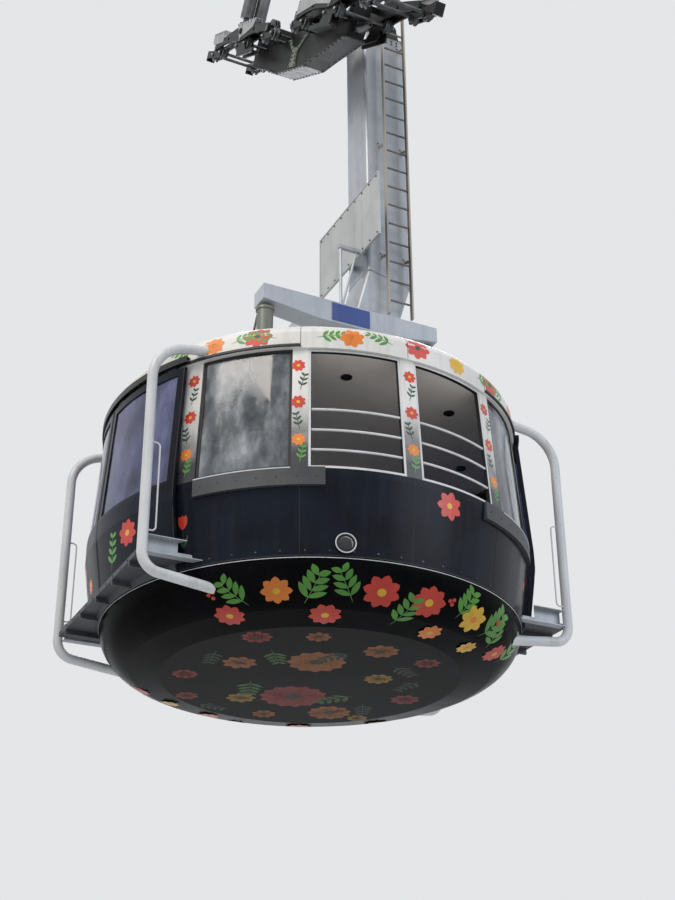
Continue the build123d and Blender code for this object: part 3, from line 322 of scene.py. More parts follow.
# arc through three points of a (radius, height) profile: the centre lies where the bisectors
# of both chords cross, and the angle is swept evenly from the first point to the last
def arcThrough(a, b, c, count=14):
    a, b, c = (np.array(p, float) for p in (a, b, c))
    rows = np.array([b - a, c - b])
    centre = np.linalg.solve(rows, np.array([(b @ b - a @ a) / 2, (c @ c - b @ b) / 2]))
    angles = np.unwrap([math.atan2(*(p - centre)[::-1]) for p in (a, b, c)])
    sweep = np.linspace(angles[0], angles[2], count)
    return centre + np.linalg.norm(a - centre) * np.stack([np.cos(sweep), np.sin(sweep)], -1)


# (radius, height above the seam) lines of the cabin's skins, in metres, from the foot up
skins = {
    "bowl": np.concatenate([[(1.300, -0.4939)], arcThrough((1.700, -0.492), (1.900, -0.474), (2.050, -0.434)),
                            arcThrough((2.050, -0.434), (2.305, -0.260), (2.400, 0.0))[1:]]),
    "wall": np.concatenate([arcThrough((2.400, 0.0), (2.460, 0.400), (2.520, 0.850)), [(2.520, 0.920)]]),
    "window": np.array([(2.520, 0.920), (2.420, 2.390)]),
    "roof": np.concatenate([[(2.450, 2.390)], arcThrough((2.450, 2.590), (2.370, 2.700), (2.100, 2.765)),
                            [(0.05, 2.849)]]),
    "door": np.array([(2.515, 0.140), (2.600, 0.720), (2.600, 0.920), (2.500, 2.360)]),
    "ledge": np.array([(2.550, 0.720), (2.550, 0.920)]),
}
# the bowl's flat underside, which rises a little from the axis to its rim
underside = {"axisZ": -0.5, "rise": 0.008, "rimR": 1.7}


# length along a skin from its first point to each of its points
def skinLengths(skin):
    return np.concatenate([[0], np.cumsum(np.linalg.norm(np.diff(skins[skin], axis=0), axis=1))])


# Point on a skin: v is metres along the skin from its first point, the normal is the profile's
# tangent turned outward, and the azimuth in degrees is counted from the front.
def onSkin(skin, azimuth, v, lift):
    line, length = skins[skin], skinLengths(skin)
    slopes = np.gradient(line, length, axis=0)
    slopes /= np.linalg.norm(slopes, axis=1, keepdims=True)
    azimuth, v, lift = np.broadcast_arrays(np.radians(azimuth), v, lift)
    radius = np.interp(v, length, line[:, 0]) + lift * np.interp(v, length, slopes[:, 1])
    height = np.interp(v, length, line[:, 1]) - lift * np.interp(v, length, slopes[:, 0])
    return np.stack([radius * np.sin(azimuth), cabinY - radius * np.cos(azimuth), seamZ + height], -1)


# cabin axes: metres from the cabin's upright axis and its seam
def onCabin(x, y, z):
    x, y, z = np.broadcast_arrays(np.asarray(x, float), y, z)
    return np.stack([x, y + cabinY, z + seamZ], -1)


# unit vectors out from the cabin's axis, at azimuths in degrees
def outward(azimuth):
    a = np.radians(azimuth)
    return np.stack([np.sin(a), -np.cos(a), 0 * a], -1)


# carriage axes: s along the ropes, n square to them, x across
def onLine(x, s, n):
    x, s, n = np.broadcast_arrays(np.asarray(x, float), s, n)
    return np.stack([x, s * math.cos(ropeSlope) - n * math.sin(ropeSlope),
                     s * math.sin(ropeSlope) + n * math.cos(ropeSlope)], -1)


# raised strip that follows a skin: outer grid, its foot, and the walls between them
def slab(skin, az0, az1, v0, v1, thick, base=0.0, rises=2):
    turns = int(abs(az1 - az0) / 2) + 2
    az = np.linspace(az0, az1, turns)
    v = np.linspace(v0, v1, rises)
    section = np.concatenate([np.stack([v, np.full(rises, base + thick)], -1),
                              np.stack([v[::-1], np.full(rises, base)], -1)])
    points = onSkin(skin, az[:, None], section[None, :, 0], section[None, :, 1])
    size = len(section)
    caps = [[k, size - 1 - k, size - 2 - k, k + 1] for k in range(rises - 1)]
    ends = caps + [[c + (turns - 1) * size for c in reversed(f)] for f in caps]
    return points, np.concatenate([gridFaces(turns, size, closed=True), ends])


# two unit vectors square to each direction and to each other
def squareTo(directions):
    spare = np.where(np.abs(directions[:, :1]) < 0.9, [[1.0, 0, 0]], [[0, 1.0, 0]])
    side = np.cross(directions, spare)
    side /= np.linalg.norm(side, axis=1, keepdims=True)
    return side, np.cross(directions, side)


# points evenly round a circle of radius 1, from a start angle
def circle(count, start=0.0):
    turn = np.linspace(0, 2 * np.pi, count, endpoint=False) + start
    return np.stack([np.cos(turn), np.sin(turn)], -1)


# Round bar or pipe along a path: rings of points square to the path, with both ends closed
def pipe(path, radius, sides):
    ahead = np.gradient(path, axis=0)
    ahead /= np.linalg.norm(ahead, axis=1, keepdims=True)
    side, up = squareTo(ahead)
    rings = circle(sides) * radius
    body = path[:, None] + rings[None, :, :1] * side[:, None] + rings[None, :, 1:] * up[:, None]
    body = body.reshape(-1, 3)
    last = len(body)
    index = np.arange(sides)
    after = (index + 1) % sides
    near = np.stack([np.full(sides, last), after, index, index], -1)
    far = np.stack([np.full(sides, last + 1), index + last - sides, after + last - sides,
                    after + last - sides], -1)
    return (np.concatenate([body, path[:1], path[-1:]]),
            np.concatenate([gridFaces(len(path), sides, closed=True), near, far]))


# Turned shapes at many places: a profile of (radius, height) rows set on a point along a normal
def turned(points, normals, profile, sides=6):
    points = np.reshape(points, (-1, 3)).astype(float)
    normals = np.broadcast_to(np.asarray(normals, float), points.shape)
    a, b = squareTo(normals)
    rows = np.array(profile, float)
    ring = rows[:, None, :1] * circle(sides)[None]
    points, normals, a, b = (p[:, None, None] for p in (points, normals, a, b))
    out = points + ring[None, ..., :1] * a + ring[None, ..., 1:] * b + rows[None, :, None, 1:] * normals
    return out, copies(gridFaces(len(rows), sides, closed=True), len(rows) * sides, len(points))


# hexagon head on a washer, radius in metres
def boltHeads(points, normals, radius):
    profile = [(radius * 1.5, 0), (radius * 1.5, radius * 0.2), (radius, radius * 0.2),
               (radius, radius * 0.8), (radius * 0.85, radius * 0.95), (0.0001, radius * 0.95)]
    return turned(points, normals, profile)


# box with its edges cut at 45 degrees, between two corners in cabin axes
def chamferBox(low, high, cut):
    low, high = np.array(low, float), np.array(high, float)
    x = np.array([low[0], low[0] + cut, high[0] - cut, high[0], high[0], high[0] - cut, low[0] + cut, low[0]])
    y = np.array([low[1] + cut, low[1], low[1], low[1] + cut, high[1] - cut, high[1], high[1], high[1] - cut])
    mid = (low + high) / 2
    shrink = 1 - 2 * cut / (high - low)[:2]
    rings = [np.stack([mid[0] + (x - mid[0]) * a, mid[1] + (y - mid[1]) * b, np.full(8, z)], -1)
             for a, b, z in ((0.001, 0.001, low[2]), (*shrink, low[2]), (1, 1, low[2] + cut),
                             (1, 1, high[2] - cut), (*shrink, high[2]), (0.001, 0.001, high[2]))]
    return onCabin(*np.concatenate(rings).T), gridFaces(6, 8, closed=True)


# Inks of the printed film, all cast vinyl under one clear layer. The motifs are daisies, tulips,
# berries and leaf sprigs.
inkTones = (("coral", "#d8412f", "#c3352a"), ("orange", "#ee8b31", "#e27a22"),
            ("yellow", "#efbf35", "#e3ad28"), ("leaf", "#5da23a", "#4b8d33"),
            ("deepLeaf", "#1f4a33", "#1a3e2c"))


# the inks at a share of their brightness, for faces that soot and road film dull and that look down, where
# the lower share is painted shade
def inkSet(prefix, share):
    def dim(tone):
        return "#" + "".join(f"{round(int(tone[i:i + 2], 16) * share):02x}" for i in (1, 3, 5))
    return {name: coated(f"{prefix}{name}Ink", dim(colour), dim(second), dim("#4a4340"), roughness=0.34,
                         streak=0.25, bump=0.05, coat=0.2 * share ** 2, specular=0.5 * share ** 3, speck=0.15)
            for name, colour, second in inkTones}


inks = inkSet("", 1.0)
# painted shade: the bowl's inks at 0.84 of their brightness, the underside's at half
bowlShadedInks = inkSet("bowl_", 0.84)
underShadedInks = inkSet("under_", 0.50)
bladeRows, bladeColumns = 9, 3
meanSkinR = 2.45  # mean radius of the printed skins
skinTurn = math.degrees(1 / meanSkinR)


# A printed shape: a blade along its own axis, with stations along and points across. Its half
# width is the sine of the way along raised to a power, so a low power is a disc and a high one
# a leaf. rows are (azimuth, v, heading in degrees from up, length, width, power) on a skin, and
# the first two are x and y on the underside.
def printBlades(name, skin, rows, mat, body, lift):
    u, v, heading, length, width, power = (np.array(c)[:, None, None] for c in np.array(rows, float).T)
    along = np.linspace(0, 1, bladeRows)[None, :, None]
    across = np.linspace(-1, 1, bladeColumns)[None, None, :]
    half = width / 2 * np.sin(np.pi * np.clip(along, 0.001, 0.999)) ** power
    a = np.radians(heading)
    du = along * length * np.sin(a) + across * half * np.cos(a)
    dv = along * length * np.cos(a) - across * half * np.sin(a)
    if skin == "underside":
        x, y = u + du, v + dv
        z = underside["axisZ"] + underside["rise"] * np.hypot(x, y) / underside["rimR"]
        points = onCabin(x, y, z - lift)
    else:
        points = onSkin(skin, u + np.degrees(du / skins[skin][:, 0].mean()), v + dv, lift)
    faces = copies(gridFaces(bladeRows, bladeColumns), bladeRows * bladeColumns, len(rows))
    makePiece(name, points, faces, mat, body)


# One piece for each ink that has rows. The lifts off the skin differ from ink to ink, so that
# motifs that overlap don't lie in one plane, and start again after a number of inks.
def printInks(name, skin, rows, tones, low=0.0012, step=0.0005, again=3, body="hanger"):
    for k, (ink, table) in enumerate(rows.items()):
        if table:
            printBlades(f"{name}_{ink}Ink", skin, table, tones[ink], body, low + step * (k % again))


def emptyRows():
    return {name: [] for name in inks}


# flower of petals round a point; the tip of each petal lies at the flower's radius
def petals(u, v, radius, count, turn):
    step = 360 / count
    return [(u, v, turn + k * step, radius, radius * 0.62, 0.55) for k in range(count)]


# disc of a given radius about a point
def disc(u, v, radius):
    return [(u, v - radius, 0, 2 * radius, 2 * radius, 0.5)]


# stem with leaves in pairs; turn is how far u goes in a metre, degrees on a skin
def sprig(u, v, heading, length, leaf, pairs=4, turn=skinTurn, stem=0.008):
    a = math.radians(heading)
    rows = [(u, v, heading, length, stem, 0.2)]
    for k in range(pairs):
        at = (k + 1) / (pairs + 0.6) * length
        rows += [(u + at * math.sin(a) * turn, v + at * math.cos(a), heading + side * 48,
                  leaf * (1 - 0.12 * k), leaf * 0.34, 0.8) for side in (-1, 1)]
    return rows


# tulip: three upright cups on a stem with two long leaves
def tulip(az, v, size):
    cups = [(az, v, turn, size, size * 0.42, 0.7) for turn in (-16, 16, 0)]
    leaves = [(az, v - size * 1.25, turn, size * 0.95, size * 0.2, 0.9) for turn in (-24, 24)]
    return {"coral": cups, "deepLeaf": [(az, v, 180, size * 1.3, 0.01, 0.2)] + leaves}


bowlFoot = 0.4  # length of skin between the first point of its line and the bowl's foot
# bowl motifs: azimuth, distance along the bowl from its foot, radius, petals, ink, turn
bowlFlowers = (
    (-49, 0.34, 0.165, 9, "coral", 8), (-34, 0.60, 0.150, 8, "orange", 0),
    (-21, 0.26, 0.180, 9, "coral", 20), (-7, 0.62, 0.185, 8, "coral", 12),
    (7, 0.60, 0.185, 9, "coral", 0), (15, 0.22, 0.140, 8, "orange", 30),
    (24, 0.58, 0.170, 7, "yellow", 15), (34, 0.24, 0.120, 8, "yellow", 0),
    (47, 0.42, 0.150, 9, "coral", 5),
)
# azimuth, distance, heading, length, leaf
bowlSprigs = (
    (-42, 0.46, -40, 0.40, 0.17), (-27, 0.44, 25, 0.40, 0.19), (-14, 0.48, -25, 0.40, 0.17),
    (0, 0.20, 15, 0.44, 0.19), (17.5, 0.52, 20, 0.36, 0.18), (31, 0.44, 28, 0.42, 0.22),
    (40, 0.38, -30, 0.40, 0.17), (54, 0.36, -10, 0.44, 0.20),
)
# azimuth, distance
bowlBerries = ((-52, 0.64), (-50.6, 0.66), (-51, 0.60), (13, 0.68), (14.2, 0.70), (14, 0.65),
               (34, 0.70), (35, 0.67))
berryRadius = 0.022


def printBowl(label, half):
    rows, dots = emptyRows(), emptyRows()
    for az, v, radius, count, ink, turn in bowlFlowers:
        rows[ink] += petals(half + az, v + bowlFoot, radius, count, turn)
        heart = "orange" if ink == "yellow" else "yellow"
        dots[heart] += disc(half + az, v + bowlFoot, radius * 0.24)
    for az, v, heading, length, leaf in bowlSprigs:
        rows["leaf"] += sprig(half + az, v + bowlFoot, heading, length, leaf)
    for az, v in bowlBerries:
        dots["coral"] += disc(half + az, v + bowlFoot, berryRadius)
    printInks(f"bowl_print_{label}", "bowl", rows, bowlShadedInks, step=0.0004)
    printInks(f"bowl_dots_{label}", "bowl", dots, bowlShadedInks, low=0.0026, step=0.0)


# fascia motifs: azimuth, v, radius, ink; then the sprigs' azimuth and heading
fasciaFlowers = (
    (-51, 0.16, 0.120, "orange"), (-39, 0.18, 0.150, "coral"), (-15, 0.15, 0.125, "orange"),
    (3, 0.17, 0.140, "coral"), (16, 0.14, 0.110, "yellow"), (31, 0.17, 0.150, "coral"),
    (47, 0.15, 0.115, "orange"),
)
fasciaSprigs = ((-46, 70), (-34, -75), (-24, 80), (-4, -70), (24, 75), (40, -80), (54, 80), (-57, -70))


def printFascia(label, half):
    rows = emptyRows()
    for az, v, radius, ink in fasciaFlowers:
        rows[ink] += petals(half + az, v, radius, 8, az)
        rows["deepLeaf"] += disc(half + az, v, radius * 0.2)
    for az, heading in fasciaSprigs:
        rows["leaf"] += sprig(half + az, 0.13, heading, 0.32, 0.105)
    printInks(f"fascia_print_{label}", "roof", rows, inks)


# pillars and jambs, from the sill up; the flowers are shifted a little to and fro
def printPillars(label, half):
    rows = emptyRows()
    for az in (-57, -28, 0, 28, 57):
        for v, radius, ink in ((0.34, 0.076, "orange"), (0.80, 0.082, "coral"), (1.26, 0.078, "coral")):
            shifted = half + az + 0.5 * math.sin(az + v)
            rows[ink] += petals(shifted, v, radius, 8, az + v)
            rows["yellow"] += disc(shifted, v, radius * 0.24)
        for v, heading, ink in ((0.06, 10, "leaf"), (0.46, -12, "deepLeaf"), (0.95, 14, "deepLeaf")):
            rows[ink] += sprig(half + az, v, heading, 0.22, 0.070, 3)
    printInks(f"pillar_print_{label}", "window", rows, inks)


# lower wall: one large flower under the windows and tulips towards the doors
def printWall(label, half):
    rows = emptyRows()
    rows["coral"] += petals(half + 10, 0.72, 0.160, 7, 10)
    rows["yellow"] += disc(half + 10, 0.72, 0.034)
    for az, v, size in ((-57.5, 0.42, 0.16), (56.5, 0.50, 0.15), (51, 0.34, 0.13)):
        for ink, table in tulip(half + az, v, size).items():
            rows[ink] += table
    printInks(f"wall_print_{label}", "wall", rows, inks)


# underside motifs: x, y from the axis, radius, petals, ink
underFlowers = (
    (-1.10, -1.02, 0.17, 9, "coral"), (-0.52, -1.30, 0.14, 8, "orange"), (0.28, -1.18, 0.20, 9, "orange"),
    (0.92, -1.05, 0.15, 8, "coral"), (-0.20, -0.58, 0.33, 12, "orange"), (0.68, -0.35, 0.17, 9, "yellow"),
    (-0.95, -0.20, 0.20, 8, "orange"), (-1.35, 0.42, 0.15, 9, "coral"), (1.32, 0.20, 0.18, 8, "coral"),
    (0.08, 0.64, 0.40, 14, "coral"), (-0.45, 0.95, 0.18, 8, "yellow"), (0.74, 1.04, 0.27, 11, "orange"),
    (0.05, 1.42, 0.15, 8, "orange"), (-1.05, 1.15, 0.14, 8, "coral"), (1.15, 1.10, 0.13, 8, "yellow"),
)
# x, y, heading, length, leaf
underSprigs = (
    (-0.80, -0.72, 35, 0.44, 0.17), (0.02, -1.02, -30, 0.40, 0.16), (0.62, -0.82, 60, 0.42, 0.16),
    (-0.60, 0.30, 20, 0.52, 0.20), (0.72, 0.30, -35, 0.50, 0.19), (-1.32, -0.45, 10, 0.42, 0.15),
    (1.15, -0.48, -10, 0.42, 0.15), (0.95, 0.55, 25, 0.42, 0.16), (-0.85, 1.38, 80, 0.4, 0.15),
)
largeLeaf = 0.165  # larger leaves are in the lighter green


def printUnderside():
    rows = emptyRows()
    for x, y, radius, count, ink in underFlowers:
        rows[ink] += petals(x, y, radius, count, 40 * x)
        rows["deepLeaf"] += disc(x, y, radius * 0.24)
    for x, y, heading, length, leaf in underSprigs:
        stem, *leaves = sprig(x, y, heading, length, leaf, turn=1.0, stem=0.010)
        rows["leaf"].append(stem)
        rows["leaf" if leaf > largeLeaf else "deepLeaf"] += leaves
    printInks("underside_print", "underside", rows, underShadedInks, low=0.0002, step=0.0001, again=len(rows))


printUnderside()
halves = (("front", 0), ("rear", 180))
for label, half in halves:
    printBowl(label, half)
    printFascia(label, half)
    printPillars(label, half)
    printWall(label, half)
# each leaf carries a large daisy, a small one and a sprig low down; the azimuths turn with the leaf
for label, middle in (("right_front", 74), ("right_rear", 106), ("left_front", -74), ("left_rear", -106)):
    rows = {"coral": petals(middle, 0.42, 0.15, 8, middle), "yellow": disc(middle, 0.42, 0.035),
            "orange": petals(middle + 8, 0.18, 0.09, 8, 0), "leaf": sprig(middle - 8, 0.10, 12, 0.42, 0.13)}
    printInks(f"door_print_{label}", "door", rows, inks, 0.0003, 0.0002, len(rows), f"door_{label}")
print("film printed")

# Hardware of the carriage, in metres: Out is across, S along the rope and N square to it
carriage = {"beamOut": 0.445, "coverOut": 0.453, "bracketOut": 0.143, "shaftOut": 0.475,
            "rollerOut": 0.385, "rollerIn": 0.315, "axleEnd": 0.427, "axleHalf": 0.195, "axleN": 0.105,
            "pinN": 0.192, "rockerN": 0.300, "rockerS": 1.875, "bogiePitch": 1.25,
            "flangeHalf": 0.142, "flangeThick": 0.016, "hangerPinN": 0.412, "pinHeadOut": 1.272,
            "pinTailOut": -0.209}
girderFoot = np.array([(-1.91, -0.140), (-0.98, -0.315), (-0.58, -0.400), (0.58, -0.400), (0.98, -0.315),
                       (1.91, -0.140)])
acrossOut = np.array([1.0, 0, 0])
# the axles are in pairs, one pair to a bogie, three bogies each way from the middle
stations = sorted(way * (k + 0.5) * carriage["bogiePitch"] + q * carriage["axleHalf"]
                  for way in (-1, 1) for k in range(3) for q in (-1, 1))


# points evenly round a circle about (s, n), in a plane square to x
def lineCircle(x, s, n, radius, count, start=0.0):
    ring = radius * circle(count, start)
    return onLine(x, s + ring[:, 0], n + ring[:, 1])


# rings and cap screws on the faces of one axle's rollers, and nuts on its ends
def rollerDress(number, s):
    n = carriage["axleN"]
    parts = []
    for side in (-1, 1):
        for x, way in ((carriage["rollerOut"], 1), (carriage["rollerIn"], -1)):
            face, out = onLine(side * x, s, n), acrossOut * side * way
            parts.append(turned(face, out, [(0.072, 0), (0.072, 0.004), (0.060, 0.004), (0.056, 0.001)], 36))
            parts.append(turned(face, out, [(0.040, 0), (0.040, 0.007), (0.034, 0.009), (0.026, 0.009)], 30))
            parts.append(boltHeads(lineCircle(side * x, s, n, 0.049, 6, math.pi / 2), out, 0.0055))
        parts.append(boltHeads(onLine(side * carriage["axleEnd"], s, n), acrossOut * side, 0.017))
    makePiece(f"roller_rings_{number:02d}", *joinParts(parts), coverPaint, f"axle_{number:02d}",
              "machined_steel", True)


for number, s in enumerate(stations, 1):
    rollerDress(number, s)


# points on the +x side and their mirror images in x, with the normals that point away from x 0
def bothSides(points):
    points = points.reshape(-1, 3)
    normals = np.broadcast_to(acrossOut, points.shape)
    flip = np.array([-1.0, 1, 1])
    return np.concatenate([points, points * flip]), np.concatenate([normals, normals * flip])


def carriageBolts():
    parts = []
    # the bottom flange: bolts under it and nuts on it, a row each side of each straight stretch
    for (s0, n0), (s1, n1) in zip(girderFoot[:-1], girderFoot[1:]):
        length = math.hypot(s1 - s0, n1 - n0)
        t = np.linspace(0.03, 0.97, int(length / 0.11))
        down = onLine(0, (n1 - n0) / length, -(s1 - s0) / length)
        for x in (-carriage["flangeHalf"], carriage["flangeHalf"]):
            row = onLine(x, s0 + (s1 - s0) * t, n0 + (n1 - n0) * t)
            parts.append(boltHeads(row + down * carriage["flangeThick"], down, 0.011))
            parts.append(boltHeads(row, -down, 0.010))
    # brackets round the hanger's pin
    marks = np.array([(-0.35, 0.045), (-0.27, 0.028), (-0.18, -0.02), (-0.10, -0.09), (-0.06, -0.16),
                      (-0.06, -0.22), (-0.075, -0.28), (-0.105, -0.345)])
    marks = np.concatenate([marks, marks * [-1, 1]])
    parts.append(boltHeads(*bothSides(onLine(carriage["bracketOut"], marks[:, 0], marks[:, 1])), 0.012))
    # keep plates of the bogies' pins, and the screws of the rockers' shafts
    for way in (-1, 1):
        for k in (-1, 0, 1):
            s = way * carriage["rockerS"] + k * carriage["bogiePitch"]
            pin = (carriage["beamOut"], s, carriage["pinN"])
            parts.append(boltHeads(*bothSides(lineCircle(*pin, 0.036, 4, 0.6)), 0.007))
            parts.append(turned(*bothSides(onLine(*pin)), [(0.050, 0), (0.050, 0.006), (0.0001, 0.006)], 24))
        shaft = (carriage["shaftOut"], way * carriage["rockerS"], carriage["rockerN"])
        parts.append(boltHeads(*bothSides(lineCircle(*shaft, 0.028, 6)), 0.007))
    # screws of the covers
    for way, s0, s1, n in ((1, 1.30, 2.05, 0.405), (1, 2.82, 3.27, 0.405), (-1, 0.70, 2.00, 0.385),
                           (-1, 2.82, 3.27, 0.405)):
        row = onLine(carriage["coverOut"], way * np.linspace(s0, s1, 6), n)
        parts.append(boltHeads(*bothSides(row), 0.008))
    # caps on both ends of the hanger's pin
    for out, way, ring, radius in ((carriage["pinHeadOut"], 1, 0.105, 0.012),
                                   (carriage["pinTailOut"], -1, 0.085, 0.010)):
        spots = lineCircle(out, 0, carriage["hangerPinN"], ring, 8)
        parts.append(boltHeads(spots, acrossOut * way, radius))
    makePiece("carriage_bolts", *joinParts(parts), machinedSteel, "carriage", "machined_steel")


carriageBolts()
# weld beads along the girder's corners
beads = [pipe(onLine(x, girderFoot[:, 0], girderFoot[:, 1] + 0.006), 0.006, 8) for x in (-0.127, 0.127)]
makePiece("girder_welds", *joinParts(beads), carriageBlack, "carriage", "carriage_paint", True)
print("carriage dressed")

# Hanger, in metres from the cabin's axis and seam
hanger = {"columnLeft": 0.680, "columnRight": 1.300, "columnHalf": 0.300, "beamY": 1.010, "beamHalfW": 0.140,
          "beamTop": 3.830, "boltEndX": 1.08, "boltAside": 0.11, "footY": 0.34, "boardX": 0.538,
          "boardLow": 5.30, "boardTop": 6.19, "damperX": 1.08, "damperY": 1.01, "padRing": 0.128}
strapHeights = (5.387, 7.224, 9.060)  # of the ladder
upward = [0, 0, 1]


# height of the roof at a distance from the axis: it falls by 84 mm over 2.1 m
def roofHeight(distance):
    return 2.849 - 0.0842 * distance / 2.1


def hangerBolts():
    parts = []
    # top flange of both roof beams
    x = np.linspace(-hanger["boltEndX"], hanger["boltEndX"], 13)
    for y in (-hanger["beamY"], hanger["beamY"]):
        for aside in (-hanger["boltAside"], hanger["boltAside"]):
            parts.append(boltHeads(onCabin(x, y + aside, hanger["beamTop"]), upward, 0.012))
    # foot of the column on the yoke
    for y in (-hanger["footY"], hanger["footY"]):
        parts.append(boltHeads(onCabin(np.linspace(0.40, 0.92, 6), y, hanger["beamTop"]), upward, 0.016))
    # splice of the column's head, front and back
    for way in (-1, 1):
        for x in np.linspace(0.78, 1.20, 6):
            pair = onCabin(x, way * hanger["columnHalf"], np.array([9.12, 9.17]))
            parts.append(boltHeads(pair, [0, way, 0], 0.012))
    # side board, along its top and bottom edges
    for y in np.linspace(-0.82, 0.82, 9):
        for z in (hanger["boardLow"], hanger["boardTop"]):
            parts.append(boltHeads(onCabin(hanger["boardX"], y, z), [-1, 0, 0], 0.011))
    # damper pads
    for x in (-hanger["damperX"], hanger["damperX"]):
        for y in (-hanger["damperY"], hanger["damperY"]):
            ring = hanger["padRing"] * circle(8)
            top = roofHeight(math.hypot(x, y)) + 0.040
            parts.append(boltHeads(onCabin(x + ring[:, 0], y + ring[:, 1], top), upward, 0.010))
    # ladder's strap screws
    for z in strapHeights:
        for x in (0.86, 0.92, 1.20, 1.26):
            parts.append(boltHeads(onCabin(x, -hanger["columnHalf"], z), [0, -1, 0], 0.009))
    makePiece("hanger_bolts", *joinParts(parts), machinedSteel, "hanger", "machined_steel")


hangerBolts()
# blank plate on the front beam's outer face, and a small fitting on its top
faceY = -hanger["beamY"] - hanger["beamHalfW"]
plate = chamferBox((-0.28, faceY - 0.008, 3.565), (0.23, faceY, 3.808), 0.003)
fitting = chamferBox((0.26, -1.10, hanger["beamTop"]), (0.38, -1.00, 3.880), 0.012)
makePiece("beam_plate", *plate, plateBlue, "hanger")
makePiece("beam_fitting", *fitting, lampBlack, "hanger", "lamp_black")
# black stays beside each damper, from the roof up to the beam
stays = [pipe(onCabin(side * np.linspace(1.25, 1.10, 6), y, np.linspace(2.80, 3.62, 6)), 0.014, 10)
         for side in (-1, 1) for y in (-0.86, 0.86)]
makePiece("damper_stays", *joinParts(stays), lampBlack, "hanger", "rail_steel", True)


# Weld bead round the column: a loop with cut corners a little outside its skin, lower towards
# the right by the drop
def columnBead(z, drop):
    left, right = hanger["columnLeft"], hanger["columnRight"]
    proud, cut = 0.001, 0.020
    near, far = hanger["columnHalf"] - cut, hanger["columnHalf"] + proud
    loop = np.array([(left + cut, -far), (right - cut, -far), (right + proud, -near), (right + proud, near),
                     (right - cut, far), (left + cut, far), (left - proud, near), (left - proud, -near),
                     (left + cut, -far)])
    return pipe(onCabin(loop[:, 0], loop[:, 1], z - drop * (loop[:, 0] - left) / (right - left)), 0.007, 8)


# beads at the column's crank and its splice
makePiece("column_welds", *joinParts([columnBead(5.09, 0.14), columnBead(9.21, 0)]), galvanised, "hanger",
          "galvanised_steel", True)
print("hanger dressed")


# strip up a skin about one azimuth
def upright(skin, az, halfTurn, v0, v1, thick, rises):
    return slab(skin, az - halfTurn, az + halfTurn, v0, v1, thick, rises=rises)


# Trim of the cabin: azimuths in degrees, v in metres along the skin
white, black, grey = [], [], []
bowlTop = skinLengths("bowl")[-1]
frameTop, frameTurn = 1.46, 0.62  # top of the upright lines, and degrees across a light edge
for _, half in halves:
    # film seams of the wall, and joints of the fascia
    for az in (-28, 0, 28):
        black.append(upright("wall", half + az, 0.07, 0.02, 0.90, 0.0018, 14))
    for az in (-60, -28, 0, 28, 60):
        black.append(upright("roof", half + az, 0.06, 0.004, 0.36, 0.0018, 10))
    # seam ring: dark gap with a light line under it
    black.append(slab("wall", half - 90, half + 90, 0.0, 0.010, 0.002))
    grey.append(slab("bowl", half - 90, half + 90, bowlTop - 0.020, bowlTop - 0.013, 0.003))
    # light edges of the open windows: foot and head, then both sides
    for a, b in ((-26, -2), (2, 26)):
        for low in (0.004, 1.444):
            white.append(slab("window", half + a, half + b, low, low + 0.026, 0.004, -0.010))
        for edge in (half + a, half + b - frameTurn):
            white.append(slab("window", edge, edge + frameTurn, 0.03, frameTop, 0.004, -0.010, 4))
    # light line under the glazed windows, dark lines at the jambs
    for a, b in ((-54, -30), (30, 54)):
        grey.append(slab("ledge", half + a + 0.1, half + b - 0.1, 0.186, 0.198, 0.002))
    for az in (-60, -54, 54, 60):
        black.append(upright("window", half + az, 0.12, 0.01, frameTop, 0.0022, 4))
makePiece("cabin_trim_white", *joinParts(white), railEnamel, "hanger", "rail_paint")
makePiece("cabin_trim_black", *joinParts(black), sealRubber, "hanger", "seal_rubber")
makePiece("cabin_trim_grey", *joinParts(grey), tubePowder, "hanger", "tube_paint")
# Rubber edges where the leaves meet, and along their fronts. The meeting edge leaves out the
# knee, the leaf's widest place.
leafTurn, leafTop, knee, edgeThick = 31.0, 2.24, (0.565, 0.825), 0.0025
for label, az, way in (("right_front", 89.85, -1), ("right_rear", 90.15, 1), ("left_front", -89.85, 1),
                       ("left_rear", -90.15, -1)):
    far = az + way * leafTurn
    meeting, front = sorted((az, az + way * 0.35)), sorted((far, far + way * 0.25))
    parts = [slab("door", *meeting, 0.02, knee[0], edgeThick, rises=4),
             slab("door", *meeting, knee[1], leafTop, edgeThick, rises=8),
             slab("door", *front, 0.02, leafTop, edgeThick, rises=12)]
    makePiece(f"door_edges_{label}", *joinParts(parts), sealRubber, f"door_{label}", "seal_rubber")
# bolts round the wall's foot, along the ledges and the door rails' covers
parts = []
for _, half in halves:
    for skin, first, last, count, v in (("wall", -86, 86, 30, 0.055), ("ledge", -52, -24, 7, 0.10),
                                        ("ledge", 24, 52, 7, 0.10)):
        az = half + np.linspace(first, last, count)
        parts.append(boltHeads(onSkin(skin, az, v, 0.0), outward(az), 0.007))
for side in (-1, 1):
    parts.append(boltHeads(onCabin(side * 2.56, np.linspace(-1.28, 1.28, 12), 0.0925), [side, 0, 0], 0.009))
makePiece("cabin_bolts", *joinParts(parts), machinedSteel, "hanger", "machined_steel")
